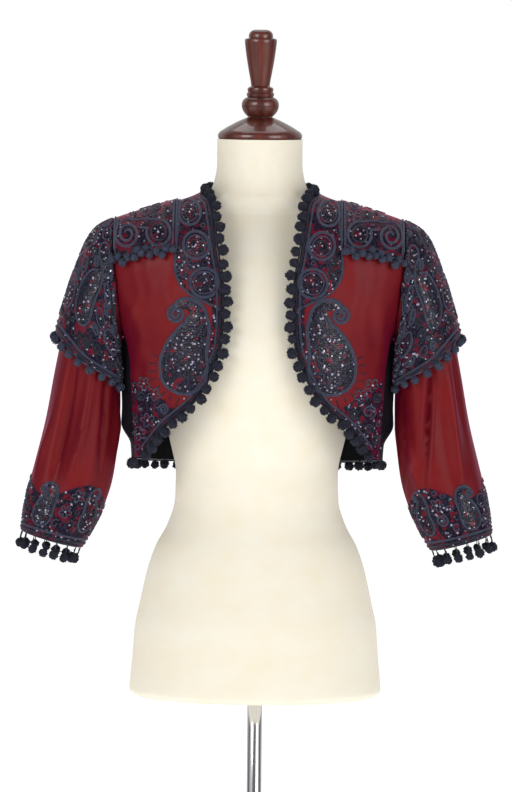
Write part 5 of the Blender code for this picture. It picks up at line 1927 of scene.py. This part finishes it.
class JACKET_OT_stand(MakerOperator):
    """Turn the neck cap, the finial, the pole and the base."""

    bl_idname = "jacket.stand"
    bl_label = "Stand and finial"

    def execute(self, context):
        turned_piece("polished_cap", "neck_cap", NECK_CAP, 96, "mahogany")
        turned_piece("polished_finial", "finial", FINIAL, 72, "mahogany")
        pole = [Turned(0.0242 + SEAM, POLE_RADIUS - 0.0006), Turned(0.0256, POLE_RADIUS),
                Turned(FORM[0].z - 0.0013, POLE_RADIUS), Turned(FORM[0].z - SEAM, POLE_RADIUS - 0.0006)]
        turned_piece("chrome_pole", "pole", pole, 64, "chrome")
        turned_piece("chrome_base", "base", BASE, 128, "chrome")
        return {"FINISHED"}


# Flat cut of each cloth piece: width and length of its rectangle, and area
Cut = namedtuple("Cut", "width length area")


def hang_cloth(kind, ending, rows, sign, closed=False):
    """Make one piece of cloth and let it stand for its solid."""
    # The underarm panels are cut from the dark lining: a dark sheet standing for the shade under the
    # arms, as painted shade.
    painted_shade_side = kind == "side"
    piece = make_wall(("black_" if painted_shade_side else "silk_") + kind + ending, rows, sign,
                      ["lining"] if painted_shade_side else ["silk", "lining"], closed)
    hand_over(piece, kind + ending)


class JACKET_OT_panels(MakerOperator):
    """Hang the silk fronts, the back and the underarm panels, in dark lining cloth as painted shade
    under the arms.
    """

    bl_idname = "jacket.panels"
    bl_label = "Fronts, back and sides"

    def execute(self, context):
        for word, sign in SIDES:
            hang_cloth("front", "_" + word, front_rows(word), sign)
            hang_cloth("side", "_" + word, side_rows(), sign)
        hang_cloth("back", "", back_rows(), 1)
        return {"FINISHED"}


class JACKET_OT_sleeves(MakerOperator):
    """Hang the sleeves with their creases, the oversleeves and the yokes."""

    bl_idname = "jacket.sleeves"
    bl_label = "Sleeves, oversleeves and yokes"

    def execute(self, context):
        for word, sign in SIDES:
            hang_cloth("sleeve", "_" + word, sleeve_rings(word), sign, True)
            hang_cloth("oversleeve", "_" + word, over_rows(), sign)
            hang_cloth("yoke", "_" + word, yoke_rows(), sign)
        return {"FINISHED"}


def over_place(turn):
    middle, length, radius = OVER_SPOT

    def place(across, up):
        point, normal = over_frame(middle - up / length, math.radians(turn) + across / radius)
        return point + normal * (CLOTH + EMBROIDERY), normal
    return place


def cuff_place(turn, word):
    middle, length, radius = CUFF_SPOT

    def place(across, up):
        return sleeve_surface(middle - up / length, math.radians(turn) + across / radius, word)
    return place


def raised_place(place):
    """Braid on a paisley lies on its ground, not on the cloth."""
    def lifted(across, up):
        point, normal = place(across, up)
        return point + normal * GROUND_BRAID, normal
    return lifted


class JACKET_OT_grounds(MakerOperator):
    """Lay the beaded grounds of the large and small paisleys, and the braid of the small ones."""

    bl_idname = "jacket.grounds"
    bl_label = "Paisley grounds"

    def execute(self, context):
        for word, sign in SIDES:
            make_ground("ground_front_" + word, "front_paisley_" + word,
                        on_body(-1, FRONT_CREASES[word], FRONT_DROP), 1.0, sign)
            make_ground("ground_back_" + word, "back_paisley_" + word,
                        on_body(1, BACK_CREASES, BACK_DROP), BACK_DROP_SIZE, sign)
            for face, turn, curl in (("front", 62, -1), ("back", -62, 1)):
                for kind, place, size in (("oversleeve", over_place(turn), OVER_DROP_SIZE),
                                          ("cuff", cuff_place(turn, word), CUFF_DROP_SIZE)):
                    make_ground(f"ground_{kind}_{face}_{word}", f"{kind}_{face}_paisley_{word}",
                                place, size, sign, curl, 5)
                    outline = Pattern(turn + 200 * sign)
                    outline.paisley(0.0, 0.0, size, curl)
                    outline.lay(f"{kind}_{face}_paisley_{word}", raised_place(place), sign)
        return {"FINISHED"}


def piping_spots(reach):
    """Along the top of the armhole, between the yoke and the oversleeve."""
    spots = []
    for k in range(81):
        turn = math.radians(reach * (k / 40 - 1))
        normal = sleeve_normal(0.0, turn)
        spots.append((armhole_outer(turn % (2 * math.pi)) + normal * 0.0012, normal))
    return spots


def yoke_side_spots():
    """Beside the yoke's neck edge, from the front over the shoulder to the back."""
    x = YOKE_NECK_X - 0.0016
    reach = yoke_reach(YOKE_NECK_X)
    spots = []
    for k in range(81):
        girth = reach * (k / 40 - 1) * 0.985
        side = -1 if girth < 0 else 1
        normal = body_normal(x, max(abs(girth), SEAM), side)
        spots.append((body_point(x, max(abs(girth), SEAM), side) + normal * CLOTH, normal))
    return spots


class JACKET_OT_braid(MakerOperator):
    """Sew the braid scrolls, paisleys, flowers and beads."""

    bl_idname = "jacket.braid"
    bl_label = "Braid and beads"

    def execute(self, context):
        for number, (word, sign) in enumerate(SIDES):
            front_pattern(21 + number).lay("front_" + word, on_body(-1, FRONT_CREASES[word]), sign)
            for side, face in FACES:
                yoke_pattern(31 + number + side).lay(f"yoke_{face}_{word}", on_yoke(side), sign)
            oversleeve_pattern(41 + number).lay("oversleeve_" + word, on_oversleeve, sign)
            cuff_pattern(51 + number).lay("cuff_" + word, on_cuff(word), sign)
            piping = Shape(sign)
            sweep(piping, piping_spots(58), 0.0021, PIPING_RISE, 0, False, CORD_SECTION)
            sweep(piping, yoke_side_spots(), 0.0019, PIPING_RISE, 0, False, CORD_SECTION)
            hand_over(piping.make("piping_" + word, ["slate_braid"]))
        back_pattern().lay("back", on_body(1, BACK_CREASES), 1)
        return {"FINISHED"}


class JACKET_OT_pompoms(MakerOperator):
    """Knot the wool pompoms along every edge."""

    bl_idname = "jacket.pompoms"
    bl_label = "Pompoms"

    def execute(self, context):
        for number, (word, sign) in enumerate(SIDES):
            ending = "_" + word
            make_pompoms("front", ending, front_edge_curve, sign, 61 + number)
            for side, face in FACES:
                make_pompoms("yoke_" + face, ending, yoke_edge_curve(side), sign, 71 + number)
            make_pompoms("oversleeve", ending, over_hem_curve, sign, 81 + number)
            make_pompoms("cuff", ending, cuff_curve, sign, 91 + number, True)
        make_pompoms("neck", "", neck_edge_curve, 1, 101)
        make_pompoms("hem", "", hem_edge_curve, 1, 102)
        return {"FINISHED"}


MAKERS = (JACKET_OT_stage, JACKET_OT_dress_form, JACKET_OT_stand, JACKET_OT_panels,
          JACKET_OT_sleeves, JACKET_OT_grounds, JACKET_OT_braid, JACKET_OT_pompoms)


class JACKET_PT_panel(bpy.types.Panel):
    """Settings and makers of the jacket, in the 3D view's sidebar."""

    bl_idname = "JACKET_PT_panel"
    bl_label = "Bolero Jacket"
    bl_space_type = "VIEW_3D"
    bl_region_type = "UI"
    bl_category = "Jacket"

    def draw(self, context):
        settings = context.scene.jacket
        for label in ("silk_colour", "navy_wool", "slate_wool", "linen_colour", "crease_depth",
                      "pompom_size"):
            self.layout.prop(settings, label)
        for maker in MAKERS:
            self.layout.operator(maker.bl_idname)


CLASSES = (JacketSettings, *MAKERS, JACKET_PT_panel)


def register():
    for item in CLASSES:
        bpy.utils.register_class(item)
    bpy.types.Scene.jacket = PointerProperty(type=JacketSettings)


def unregister():
    del bpy.types.Scene.jacket
    for item in reversed(CLASSES):
        bpy.utils.unregister_class(item)


def main():
    register()
    for maker in MAKERS:
        group, name = maker.bl_idname.split(".")
        getattr(getattr(bpy.ops, group), name)()


if __name__ == "__main__":
    main()
